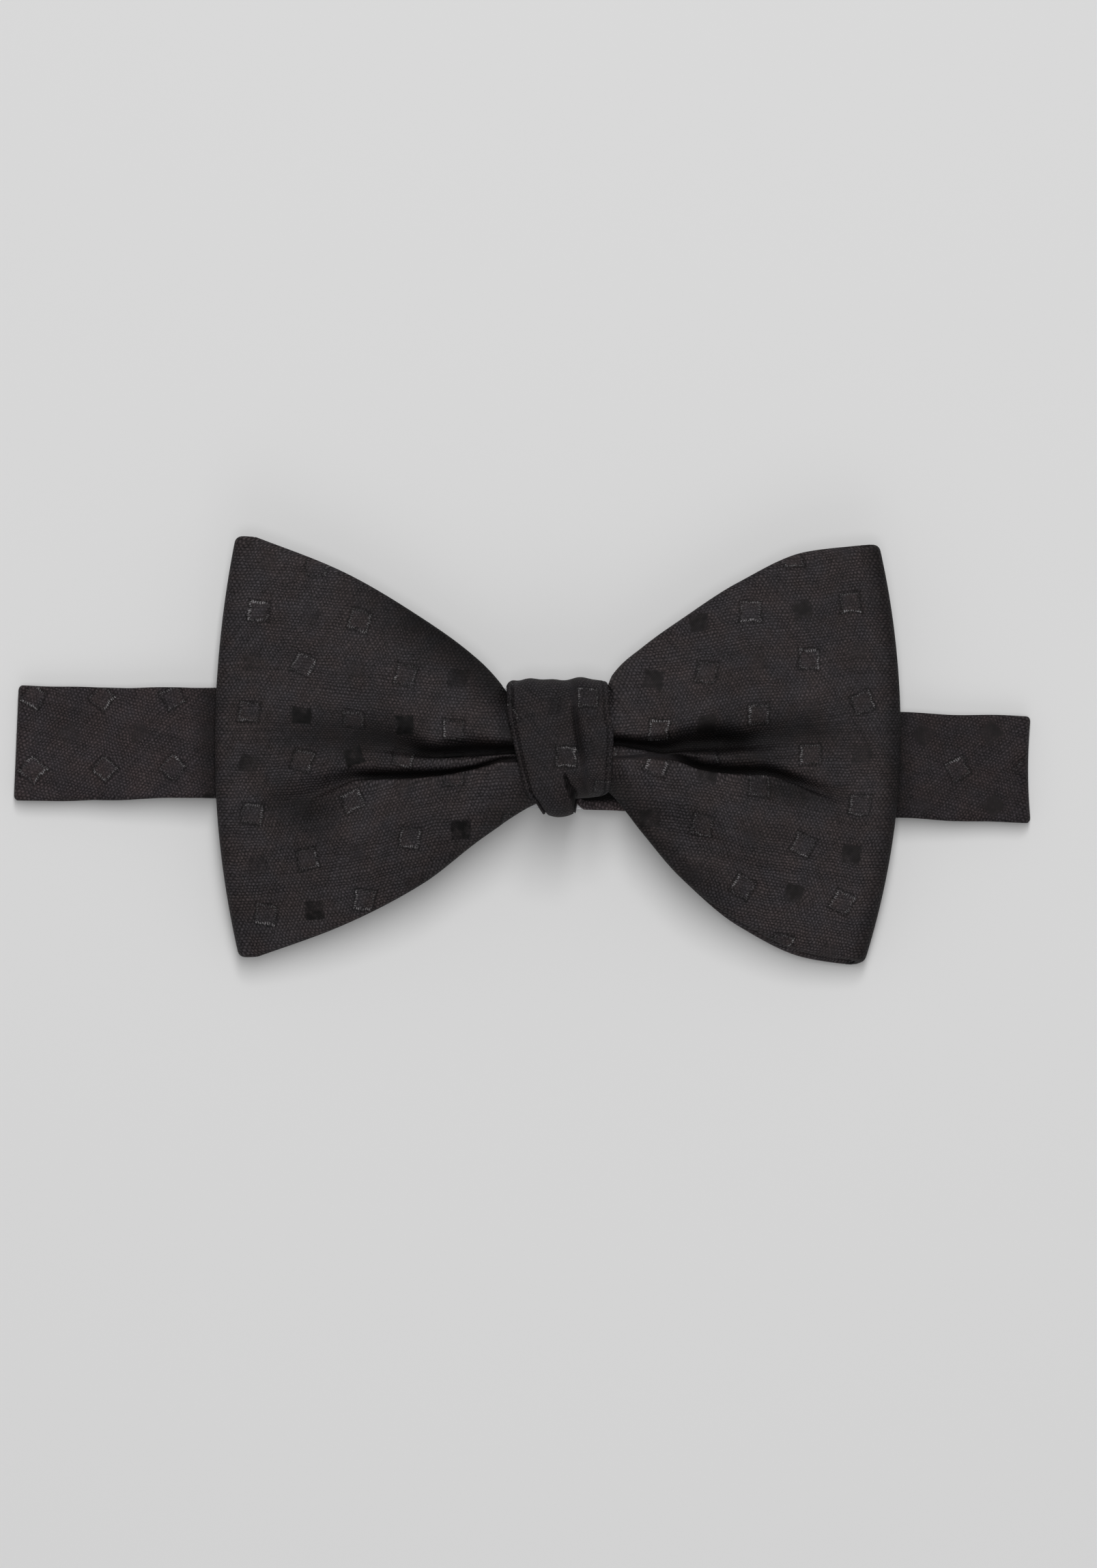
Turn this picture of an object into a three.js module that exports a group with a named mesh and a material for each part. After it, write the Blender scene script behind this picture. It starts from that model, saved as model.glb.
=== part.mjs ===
import * as THREE from 'three';

// A pre-tied bow tie, lying face up on its neck band. Sizes are in millimetres. X runs along the
// band, Y up the bow as it is worn, and Z away from the neck. The origin is on the surface that the
// tie lies on, under the middle of its length and height. The tables' places are measured from the
// middle of the knot.
const knotPlace = { x: 6.6, y: 1.2 };

// How thick the cloth is. The wings are lined, and the band is folded and lined.
const wingCloth = 1.4;
const knotCloth = 1.1;
const bandCloth = 1.5;

// The least room between pieces that touch.
const clearance = 0.3;

// The knot is a strip of cloth that runs round the waist of the bow. These are the places of the
// middle of the strip, and the radii that it bends to.
const knot = { top: 11.0, bottom: -11.65, front: 22.3, back: 4.9, frontRadius: 6, backRadius: 1.2 };

// How far the knot's strip reaches to the left and right at places round it, in degrees: 0 is its top,
// 90 its front, 180 its bottom and 270 its back. It is gathered to a narrow strap at the bottom.
const knotEdges = [
  { angle: 0, left: -9.4, right: 8.3 },
  { angle: 50, left: -9.2, right: 8.7 },
  { angle: 76, left: -8.4, right: 9.4 },
  { angle: 108, left: -7.3, right: 9.2 },
  { angle: 133, left: -6.0, right: 8.9 },
  { angle: 150, left: -4.4, right: 8.8 },
  { angle: 166, left: -3.4, right: 7.4 },
  { angle: 178, left: -3.4, right: 3.2 },
  { angle: 235, left: -3.4, right: 2.6 },
  { angle: 270, left: -5.2, right: 4.6 },
  { angle: 310, left: -8.0, right: 7.0 },
  { angle: 360, left: -9.4, right: 8.3 },
];

// To the right of a tuck, the lower end of the knot's face is drawn up by this rise. The rise starts
// at one height, is whole at the strip's bottom, and fades below the face, where the band runs.
const knotTuck = { from: 0.6, to: 2.4, rise: 3.2, startY: -2.5, fadeFrom: 15, fadeTo: 9 };

// The upright pleat in the knot's face: where it runs, how it leans and fades, its depth and width.
const knotPleat = { x: 3.6, lean: -0.14, from: 7.5, to: -5.5, fade: 3, depth: 0.75, width: 1.5 };

// Each wing is a loop of cloth: a face, a fold at its outer edge and a back. A section is a cut
// through it at a reach from the middle of the knot. It gives the heights of the wing's upper and
// lower edges and, above the surface, of the face's crown, the face's edges and the back. The third
// section is where the wing leaves the knot, and the fourth is its shoulder, just outside the knot.
// The fold gives the wing's furthest reach at its upper and lower corners, and how far it bows out
// between them. The back's lower edge peeks out below the face's by the peek.
// A crease in the face runs from one reach to another, and from one height to another. One that
// starts in the knot opens and fades towards its end, and any other fades at both ends.
const leftWing = {
  side: -1,
  sections: [
    { reach: 0.35, top: 8.8, bottom: -8.4, crown: 19.8, edge: 14.0, back: 8.6 },
    { reach: 5.0, top: 9.2, bottom: -10.4, crown: 20.3, edge: 13.6, back: 8.6 },
    { reach: 9.7, top: 10.0, bottom: -13.3, crown: 20.4, edge: 13.2, back: 8.6 },
    { reach: 10.4, top: 12.0, bottom: -13.8, crown: 20.3, edge: 13.0, back: 8.6 },
    { reach: 14.4, top: 15.1, bottom: -16.8, crown: 19.4, edge: 13.0, back: 8.6 },
    { reach: 24.0, top: 22.3, bottom: -24.2, crown: 17.4, edge: 12.8, back: 8.6 },
    { reach: 38.4, top: 30.7, bottom: -31.7, crown: 14.9, edge: 12.4, back: 8.7 },
    { reach: 54.4, top: 37.0, bottom: -37.6, crown: 12.6, edge: 12.2, back: 8.9 },
  ],
  fold: { top: 56.9, bottom: 56.7, bow: 3.9 },
  peek: 0,
  creases: [
    { from: 0, to: 34, startY: -1.4, endY: 2.6, depth: 3.6, width: 2.2 },
    { from: 0, to: 42, startY: -0.8, endY: -6.4, depth: 3.4, width: 1.8 },
    { from: 34, to: 54, startY: -6.0, endY: -15.0, depth: 1.2, width: 4.5 },
  ],
};

const rightWing = {
  side: 1,
  sections: [
    { reach: 0.35, top: 8.8, bottom: -6.6, crown: 19.8, edge: 14.0, back: 8.6 },
    { reach: 4.4, top: 9.0, bottom: -6.8, crown: 20.3, edge: 13.6, back: 8.6 },
    { reach: 9.0, top: 9.9, bottom: -8.2, crown: 20.4, edge: 13.2, back: 8.6 },
    { reach: 9.6, top: 12.8, bottom: -8.9, crown: 20.4, edge: 13.0, back: 8.6 },
    { reach: 14.4, top: 17.2, bottom: -15.2, crown: 19.6, edge: 13.0, back: 8.6 },
    { reach: 21.6, top: 22.4, bottom: -23.5, crown: 18.2, edge: 12.9, back: 8.6 },
    { reach: 31.2, top: 28.6, bottom: -30.6, crown: 16.2, edge: 12.7, back: 8.6 },
    { reach: 43.2, top: 34.0, bottom: -36.4, crown: 14.2, edge: 12.4, back: 8.7 },
    { reach: 53.4, top: 35.2, bottom: -38.0, crown: 12.9, edge: 12.2, back: 8.9 },
  ],
  fold: { top: 56.1, bottom: 53.9, bow: 4.9 },
  peek: 1.0,
  creases: [
    { from: 0, to: 40, startY: -0.3, endY: 3.0, depth: 3.8, width: 2.2 },
    { from: 0, to: 48, startY: 0.8, endY: -8.4, depth: 3.4, width: 1.8 },
    { from: 6, to: 38, startY: -10.0, endY: -19.5, depth: 1.8, width: 3.4 },
  ],
};

// The back wall starts to peek out at one reach and does so fully at another.
const peekReach = { from: 22, full: 34 };

// A wing lies level where the band passes behind it. Past that height its upper lobe rises and its
// lower lobe drops, and both have done so fully a span further out, at the fold.
const lobes = { levelTo: 12.5, span: 25, lift: 3.6, drop: 6.2, curve: 1.4 };

// The neck band is one strip, folded flat on itself at both ends. These are its width and the height
// of the middle of its front run and of its rear run at places along it.
const bandSections = [
  { x: -96.2, front: 0.4, rear: 0.4, width: 20.4 },
  { x: -62.0, front: 0.5, rear: 0.5, width: 19.4 },
  { x: -16.0, front: -0.8, rear: -0.1, width: 19.0 },
  { x: 0.0, front: -1.5, rear: -0.6, width: 19.0 },
  { x: 16.0, front: -2.1, rear: -1.1, width: 19.0 },
  { x: 60.0, front: -3.4, rear: -3.3, width: 18.7 },
  { x: 83.2, front: -4.25, rear: -4.25, width: 18.9 },
];
const bandEnds = { left: -96.2, right: 83.2 };
const frontLevel = 6.75;
const endLevel = 5.2;

// The clasp is a plain flat sleeve, hidden behind the knot. Each end of the band goes into it by this
// depth.
const clasp = { length: 22, wall: 0.7, depthInside: 10 };

// How far the band runs out of the clasp before it bends down, how far it takes to come down to the
// surface, and how far the front run takes to rise from the band's folded ends.
const bandRun = { straight: 0.5, ramp: 6.5, rise: 24 };

// Evenly spaced numbers from one to another, both of them included.
function spaced(from, to, steps) {
  return Array.from({ length: steps + 1 }, (_, i) => from + ((to - from) * i) / steps);
}

// A smooth curve through a column of a table, which never swings past its rows.
function tableCurve(rows, by, column) {
  const last = rows.length - 1;
  const slopes = rows.slice(1).map((row, i) => (row[column] - rows[i][column]) / (row[by] - rows[i][by]));
  const tangents = rows.map((_, i) => {
    if (i === 0 || i === last) return slopes[Math.min(i, last - 1)];
    const product = slopes[i - 1] * slopes[i];
    return product <= 0 ? 0 : (2 * product) / (slopes[i - 1] + slopes[i]);
  });
  return (place) => {
    const at = THREE.MathUtils.clamp(place, rows[0][by], rows[last][by]);
    const i = Math.min(rows.findLastIndex((row) => row[by] <= at), last - 1);
    const step = rows[i + 1][by] - rows[i][by];
    const t = (at - rows[i][by]) / step;
    const rest = 1 - t;
    return (
      rows[i][column] * rest * rest * (1 + 2 * t) +
      rows[i + 1][column] * t * t * (3 - 2 * t) +
      step * t * rest * (tangents[i] * rest - tangents[i + 1] * t)
    );
  };
}

// A closed solid of cloth. layer(along, across) gives the middle of the cloth and the way from there
// to its outer face. A strip that loops runs round and meets itself.
function clothSolid(layer, thickness, along, across, loops = false) {
  const positions = [];
  for (const side of [0.5, -0.5]) {
    for (const a of along) {
      for (const b of across) {
        const { middle, through } = layer(a, b);
        positions.push(...middle.addScaledVector(through, side * thickness));
      }
    }
  }
  const rows = along.length;
  const columns = across.length;
  const corner = (face, i, j) => (face * rows + (i % rows)) * columns + j;
  const index = [];
  const quad = (a, b, c, d) => index.push(a, b, c, a, c, d);
  const lastRow = loops ? rows : rows - 1;
  for (let i = 0; i < lastRow; i++) {
    for (let j = 0; j < columns - 1; j++) {
      quad(corner(0, i, j), corner(0, i + 1, j), corner(0, i + 1, j + 1), corner(0, i, j + 1));
      quad(corner(1, i, j), corner(1, i, j + 1), corner(1, i + 1, j + 1), corner(1, i + 1, j));
    }
    const j = columns - 1;
    quad(corner(0, i, 0), corner(1, i, 0), corner(1, i + 1, 0), corner(0, i + 1, 0));
    quad(corner(0, i, j), corner(0, i + 1, j), corner(1, i + 1, j), corner(1, i, j));
  }
  if (!loops) {
    for (let j = 0; j < columns - 1; j++) {
      quad(corner(0, 0, j), corner(0, 0, j + 1), corner(1, 0, j + 1), corner(1, 0, j));
      const i = rows - 1;
      quad(corner(0, i, j), corner(1, i, j), corner(1, i, j + 1), corner(0, i, j + 1));
    }
  }
  const geometry = new THREE.BufferGeometry();
  geometry.setAttribute('position', new THREE.Float32BufferAttribute(positions, 3));
  geometry.setIndex(facingOut(positions, index));
  geometry.computeVertexNormals();
  return geometry;
}

// The triangles with their faces pointing out of the solid that they close.
function facingOut(positions, index) {
  const point = (i) => new THREE.Vector3().fromArray(positions, 3 * i);
  let volume = 0;
  for (let i = 0; i < index.length; i += 3) {
    volume += point(index[i]).dot(point(index[i + 1]).cross(point(index[i + 2])));
  }
  return volume > 0 ? index : index.toReversed();
}

// How far a wing's face is sunk at a place by its creases.
function creaseDepth(creases, reach, y) {
  let sunk = 0;
  for (const crease of creases) {
    const t = (reach - crease.from) / (crease.to - crease.from);
    if (t <= 0 || t >= 1) continue;
    const strength = crease.from === 0 ? 1 - t ** 1.5 : Math.sin(Math.PI * t);
    const away = y - THREE.MathUtils.lerp(crease.startY, crease.endY, t);
    const width = crease.width * (crease.from === 0 ? THREE.MathUtils.lerp(0.8, 1.5, t) : 1);
    sunk += crease.depth * strength * Math.exp(-((away / width) ** 2));
  }
  return sunk;
}

// The rise of a wing's upper lobe and the drop of its lower lobe, which grow towards its fold.
function lobeLevel(out, y) {
  const past = THREE.MathUtils.clamp((Math.abs(y) - lobes.levelTo) / lobes.span, 0, 1);
  return (y > 0 ? lobes.lift : -lobes.drop) * past ** lobes.curve * out;
}

// A wing as one layer of cloth. along is 0 to 1 over its face, to 2 round its fold and to 3 over its
// back, and across is 0 to 1 from its lower edge to its upper edge.
function wingLayer(wing) {
  const curve = (column) => tableCurve(wing.sections, 'reach', column);
  const [top, bottom, crown, edge, back] = ['top', 'bottom', 'crown', 'edge', 'back'].map(curve);
  const firstReach = wing.sections[0].reach;
  const lastReach = wing.sections.at(-1).reach;
  const foldRadius = (crown(lastReach) - back(lastReach)) / 2;
  const reachAt = (out, across) => {
    const bow = wing.fold.bow * 4 * across * (1 - across);
    const furthest = THREE.MathUtils.lerp(wing.fold.bottom, wing.fold.top, across) + bow;
    return THREE.MathUtils.lerp(firstReach, furthest - foldRadius - wingCloth / 2, out);
  };
  const place = (out, across, onBack) => {
    const section = THREE.MathUtils.lerp(firstReach, lastReach, out);
    const reach = reachAt(out, across);
    const peek = onBack * wing.peek * THREE.MathUtils.smoothstep(section, peekReach.from, peekReach.full);
    const y = THREE.MathUtils.lerp(bottom(reachAt(out, 0)) - peek, top(reachAt(out, 1)), across);
    const dome = 1 - Math.abs(2 * across - 1) ** 3;
    const domed = THREE.MathUtils.lerp(edge(section), crown(section), dome);
    const face = domed - creaseDepth(wing.creases, reach, y);
    const z = (onBack ? back(section) : face) + lobeLevel(out, y);
    return new THREE.Vector3(wing.side * reach, y, z);
  };
  return (along, across) => {
    const out = along > 2 ? 3 - along : Math.min(along, 1);
    const turn = THREE.MathUtils.clamp(along - 1, 0, 1);
    const through = new THREE.Vector3(wing.side * Math.sin(Math.PI * turn), 0, Math.cos(Math.PI * turn));
    const face = place(out, across, 0);
    const behind = place(out, across, 1);
    const middle = along <= 1 ? face : behind;
    if (turn > 0 && turn < 1) {
      const radius = (face.z - behind.z) / 2;
      middle.lerpVectors(face, behind, 0.5).addScaledVector(through, radius);
      middle.y = THREE.MathUtils.lerp(face.y, behind.y, turn);
    }
    return { middle, through };
  };
}

// The wings' faces are finer near the knot, and near the line across them where the creases run.
const closerAtKnot = 1.15;
const closerAtCreases = 1.45;
const creaseLine = 0.47;

function wingSolid(wing) {
  const reaches = wing.sections.map((section) => section.reach);
  const share = (reach) => (reach - reaches[0]) / (reaches.at(-1) - reaches[0]);
  const [atKnot, atShoulder] = [share(reaches[2]), share(reaches[3])];
  const along = [
    ...spaced(0, atKnot, 3),
    ...spaced(0, 1, 17).map((t) => THREE.MathUtils.lerp(atShoulder, 1, t ** closerAtKnot)),
    ...spaced(1, 2, 6).slice(1),
    ...spaced(2, 3 - atShoulder, 9).slice(1),
    ...spaced(3 - atKnot, 3, 2),
  ];
  const below = spaced(0, 1, 8).map((t) => creaseLine * (1 - (1 - t) ** closerAtCreases));
  const above = spaced(0, 1, 8).map((t) => THREE.MathUtils.lerp(creaseLine, 1, t ** closerAtCreases));
  return clothSolid(wingLayer(wing), wingCloth, along, [...below, ...above.slice(1)]);
}

// The middle of the knot's strip as a closed line round the waist, drawn in Y and Z.
function knotRoute() {
  const { top, bottom, front, back, frontRadius, backRadius } = knot;
  const route = new THREE.Path();
  route.moveTo(top, (front + back) / 2);
  route.lineTo(top, front - frontRadius);
  route.absarc(top - frontRadius, front - frontRadius, frontRadius, 0, Math.PI / 2);
  route.lineTo(bottom + frontRadius, front);
  route.absarc(bottom + frontRadius, front - frontRadius, frontRadius, Math.PI / 2, Math.PI);
  route.lineTo(bottom, back + backRadius);
  route.absarc(bottom + backRadius, back + backRadius, backRadius, Math.PI, 1.5 * Math.PI);
  route.lineTo(top - backRadius, back);
  route.absarc(top - backRadius, back + backRadius, backRadius, 1.5 * Math.PI, 2 * Math.PI);
  return route;
}

// Points along a route with the way to the right of it, a number of steps for each of its curves. A
// route that meets itself has no last point of its own.
function routeStops(route, steps, loops = false) {
  const stopOn = (curve, t) => {
    const tangent = curve.getTangent(t);
    return { at: curve.getPoint(t), outward: new THREE.Vector2(tangent.y, -tangent.x) };
  };
  const stops = route.curves.flatMap((curve, i) => {
    const along = spaced(0, 1, steps[i]).slice(0, -1);
    return along.map((t) => stopOn(curve, t));
  });
  return loops ? stops : [...stops, stopOn(route.curves.at(-1), 1)];
}

function knotSolid() {
  const leftEdge = tableCurve(knotEdges, 'angle', 'left');
  const rightEdge = tableCurve(knotEdges, 'angle', 'right');
  const stops = routeStops(knotRoute(), [2, 5, 6, 5, 3, 3, 5, 3], true);
  const middleY = (knot.top + knot.bottom) / 2;
  const middleZ = (knot.front + knot.back) / 2;
  const layer = (stop, across) => {
    const { at, outward } = stops[stop];
    const angle = THREE.MathUtils.euclideanModulo(Math.atan2(at.y - middleZ, at.x - middleY), 2 * Math.PI);
    const degrees = THREE.MathUtils.radToDeg(angle);
    const x = THREE.MathUtils.lerp(leftEdge(degrees), rightEdge(degrees), across);
    const pleatX = knotPleat.x + knotPleat.lean * at.x;
    const pleatEnds =
      THREE.MathUtils.smoothstep(at.x, knotPleat.to, knotPleat.to + knotPleat.fade) *
      (1 - THREE.MathUtils.smoothstep(at.x, knotPleat.from - knotPleat.fade, knotPleat.from));
    const pleat = knotPleat.depth * Math.exp(-(((x - pleatX) / knotPleat.width) ** 2)) * pleatEnds;
    const sunk = at.y > middleZ ? pleat : 0;
    const right = THREE.MathUtils.smoothstep(x, knotTuck.from, knotTuck.to);
    const low = THREE.MathUtils.clamp((at.x - knotTuck.startY) / (knot.bottom - knotTuck.startY), 0, 1);
    const inFace = THREE.MathUtils.smoothstep(at.y, knotTuck.fadeTo, knotTuck.fadeFrom);
    const y = at.x + knotTuck.rise * right * low * inFace;
    const middle = new THREE.Vector3(x, y, at.y - sunk);
    return { middle, through: new THREE.Vector3(0, outward.x, outward.y) };
  };
  return clothSolid(layer, knotCloth, stops.keys().toArray(), spaced(0, 1, 12), true);
}

// The middle of the band's strip, drawn in X and Z: from the clasp out to the left end, over the
// front and back round the right end to the clasp.
function bandRoute() {
  const level = bandCloth / 2;
  const claspLevel = clasp.wall + clearance + level;
  const radius = (endLevel - level) / 2;
  const leftBend = bandEnds.left + radius + level;
  const rightBend = bandEnds.right - radius - level;
  const inClasp = clasp.length / 2 - clasp.depthInside;
  const outOfClasp = clasp.length / 2 + bandRun.straight;
  const rampEnd = outOfClasp + bandRun.ramp;
  const leftRise = leftBend + bandRun.rise;
  const rightRise = rightBend - bandRun.rise;
  const leftHalf = leftBend + bandRun.rise / 2;
  const rightHalf = rightBend - bandRun.rise / 2;
  const route = new THREE.Path();
  route.moveTo(-inClasp, claspLevel);
  route.lineTo(-outOfClasp, claspLevel);
  route.lineTo(-rampEnd, level);
  route.lineTo(leftBend, level);
  route.absarc(leftBend, level + radius, radius, -Math.PI / 2, Math.PI / 2, true);
  route.bezierCurveTo(leftHalf, endLevel, leftHalf, frontLevel, leftRise, frontLevel);
  route.lineTo(rightRise, frontLevel);
  route.bezierCurveTo(rightHalf, frontLevel, rightHalf, endLevel, rightBend, endLevel);
  route.absarc(rightBend, level + radius, radius, Math.PI / 2, -Math.PI / 2, true);
  route.lineTo(rampEnd, level);
  route.lineTo(outOfClasp, claspLevel);
  route.lineTo(inClasp, claspLevel);
  return route;
}

function bandSolid() {
  const curve = (column) => tableCurve(bandSections, 'x', column);
  const [frontLine, rearLine, width] = ['front', 'rear', 'width'].map(curve);
  const stops = routeStops(bandRoute(), [1, 2, 6, 8, 6, 9, 6, 8, 6, 2, 1]);
  const midLevel = (bandCloth / 2 + endLevel) / 2;
  const layer = (stop, across) => {
    const { at, outward } = stops[stop];
    const centre = at.y > midLevel ? frontLine(at.x) : rearLine(at.x);
    const y = centre + width(at.x) * (across - 0.5);
    return { middle: new THREE.Vector3(at.x, y, at.y), through: new THREE.Vector3(outward.x, 0, outward.y) };
  };
  return clothSolid(layer, bandCloth, stops.keys().toArray(), spaced(0, 1, 3));
}

// A flat sleeve, open at both ends, as wide as the band with room round it.
function claspSolid() {
  const width = tableCurve(bandSections, 'x', 'width')(0) + 2 * clearance;
  const inside = { width, height: bandCloth + 2 * clearance };
  const outside = { width: width + 2 * clasp.wall, height: inside.height + 2 * clasp.wall };
  const rectangle = (shape, size) => {
    shape.moveTo(-size.width / 2, -size.height / 2);
    shape.lineTo(size.width / 2, -size.height / 2);
    shape.lineTo(size.width / 2, size.height / 2);
    shape.lineTo(-size.width / 2, size.height / 2);
    shape.closePath();
    return shape;
  };
  const section = rectangle(new THREE.Shape(), outside);
  section.holes.push(rectangle(new THREE.Path(), inside));
  const sleeve = new THREE.ExtrudeGeometry(section, { depth: clasp.length, bevelEnabled: false, steps: 1 });
  sleeve.translate(0, outside.height / 2, -clasp.length / 2);
  // The section's width turns to Y, its height to Z and its length to X.
  sleeve.applyMatrix4(
    new THREE.Matrix4().makeBasis(
      new THREE.Vector3(0, 1, 0),
      new THREE.Vector3(0, 0, 1),
      new THREE.Vector3(1, 0, 0),
    ),
  );
  return sleeve;
}

const tie = new THREE.Group();
tie.position.set(knotPlace.x, knotPlace.y, 0);

function add(name, geometry, material) {
  const mesh = new THREE.Mesh(geometry, material);
  mesh.name = name;
  tie.add(mesh);
  return mesh;
}

const cloth = (color) => new THREE.MeshStandardMaterial({ color, roughness: 0.85, metalness: 0 });
const darkMetal = new THREE.MeshStandardMaterial({ color: 0x4a4a4c, roughness: 0.45, metalness: 0.8 });

add('left_wing', wingSolid(leftWing), cloth(0x2f2d2e));
add('right_wing', wingSolid(rightWing), cloth(0x2f2d2e));
add('knot', knotSolid(), cloth(0x2a2829));
add('neck_band', bandSolid(), cloth(0x302c2d));

// The clasp lies in line with the middle of the band's rear run.
const rearLine = tableCurve(bandSections, 'x', 'rear');
const [claspLeftY, claspRightY] = [rearLine(-clasp.length / 2), rearLine(clasp.length / 2)];
const claspMesh = add('band_clasp', claspSolid(), darkMetal);
claspMesh.position.y = (claspLeftY + claspRightY) / 2;
claspMesh.rotation.z = Math.atan2(claspRightY - claspLeftY, clasp.length);

export default tie;
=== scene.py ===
"""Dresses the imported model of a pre-tied bow tie: its cloth, its weave and squares, and its stage."""

import math

import bmesh
import bpy
import numpy as np
from bpy.props import FloatProperty, FloatVectorProperty, PointerProperty
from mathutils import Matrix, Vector


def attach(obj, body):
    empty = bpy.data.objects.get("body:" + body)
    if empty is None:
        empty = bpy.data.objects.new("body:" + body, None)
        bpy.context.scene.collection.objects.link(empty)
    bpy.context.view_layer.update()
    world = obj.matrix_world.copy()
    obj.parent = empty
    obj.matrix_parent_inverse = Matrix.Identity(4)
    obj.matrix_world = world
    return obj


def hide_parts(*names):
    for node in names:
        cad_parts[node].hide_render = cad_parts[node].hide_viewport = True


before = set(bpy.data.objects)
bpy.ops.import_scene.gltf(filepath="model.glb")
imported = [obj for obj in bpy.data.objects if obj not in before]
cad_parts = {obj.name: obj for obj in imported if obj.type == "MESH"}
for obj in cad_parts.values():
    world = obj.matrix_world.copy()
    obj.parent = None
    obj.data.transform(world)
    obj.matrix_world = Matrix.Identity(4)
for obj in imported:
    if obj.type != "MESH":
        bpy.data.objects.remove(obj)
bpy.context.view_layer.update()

bl_info = {
    "name": "Pre-tied Bow Tie",
    "version": (1, 0, 0),
    "blender": (4, 5, 0),
    "location": "View3D > Sidebar > Bow Tie",
    "description": "Models a pre-tied bow tie of charcoal cloth with small woven squares",
    "category": "Add Mesh",
}

# The tables are in millimetres, measured from the middle of the knot, and MM turns them to metres.
MM = 0.001
KNOT_PLACE = (6.6, 1.2)
TURN = 2 * math.pi

# Where the points near a cloth's rim lie, and the radius of the rim, as shares of its thickness.
RIM_RADIUS = 0.62
RIM = np.array([0, 0.02, 0.09, 0.2, 0.36, 0.6, 0.85, 1.1]) * RIM_RADIUS

CREASE_COLUMNS = "reach y depth lower upper tuck"
SHADE_COLUMNS = "reach y dark lower upper"


def table(columns, *rows):
    """Rows of numbers as dictionaries. The first column is the one that the others are read by."""
    return [dict(zip(columns.split(), row)) for row in rows]


# A wing is a loop of cloth: a face, a fold at its outer edge and a back. A section is a cut through
# it at a reach from the middle of the knot, with the heights of its upper and lower edges and, above
# the surface, of the face's crown, the face's edges and the back.
LEFT_SECTIONS = table("reach top bottom crown edge back",
    (0.35, 8.8, -8.4, 19.8, 14, 8.6),
    (5, 9, -10.4, 19.9, 13.6, 8.6),
    (9.5, 9.4, -13.2, 19.7, 13.2, 8.6),
    (10.3, 10.7, -13.8, 19.8, 13, 8.6),
    (14.4, 15.2, -16.8, 19.4, 13, 8.6),
    (24, 22.3, -24.2, 17.4, 12.8, 8.6),
    (38.4, 30.7, -31.7, 14.9, 12.4, 8.7),
    (54.4, 37, -37.6, 12.6, 12.2, 8.9),
)
RIGHT_SECTIONS = table("reach top bottom crown edge back",
    (0.35, 8.8, -6.6, 19.8, 14, 8.6),
    (4.4, 9, -6.8, 20.3, 13.6, 8.6),
    (8.5, 10, -8, 20.4, 13.2, 8.6),
    (9.3, 12.3, -8.7, 20.4, 13, 8.6),
    (14.4, 17.2, -15.2, 19.6, 13, 8.6),
    (21.6, 22.4, -23.5, 18.2, 12.9, 8.6),
    (31.2, 28.6, -30.6, 16.2, 12.7, 8.6),
    (43.2, 34, -36.4, 14.2, 12.4, 8.7),
    (53.4, 35.2, -38, 12.9, 12.2, 8.9),
)

# The creases in each wing's face, from the knot outwards. A row gives the height of the crease's
# deepest line, its depth, how wide its lower and its upper side are, and how far the cloth below it
# is tucked up over it.
LEFT_CREASES = [
    table(CREASE_COLUMNS,
        (0, -0.7, 5, 0.8, 1, 0.3),
        (9, -0.9, 6, 0.8, 1.1, 0.4),
        (15.2, -1.2, 6.6, 1, 1.7, 0.5),
        (21.7, -1.5, 5.6, 0.9, 1.5, 0.4),
        (26.5, -0.9, 2.6, 0.9, 2.4, 0.1),
        (34, 0.6, 0.8, 1.8, 4.5, 0),
        (45, 2, 0, 3, 5, 0),
    ),
    table(CREASE_COLUMNS,
        (0, -2.3, 2.2, 0.45, 0.3, 0.2),
        (9, -2.5, 2.6, 0.45, 0.3, 0.3),
        (15.2, -4, 3.8, 0.5, 0.45, 0.5),
        (20, -4.9, 4.8, 0.6, 0.7, 0.6),
        (26.1, -5.4, 5, 0.7, 1, 0.6),
        (32, -5.5, 4.2, 0.7, 1.1, 0.5),
        (35.4, -5.5, 3, 0.7, 1.2, 0.3),
        (39, -6.6, 1.9, 0.9, 1.8, 0.1),
        (46, -9, 0, 2, 3, 0),
    ),
    table(CREASE_COLUMNS,
        (32, -6.5, 0, 3, 2.5, 0),
        (40, -8.2, 1.9, 3.2, 2.6, 0),
        (47, -10.2, 1.5, 3.6, 3, 0),
        (56, -14, 0, 4, 4, 0),
    ),
]
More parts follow.
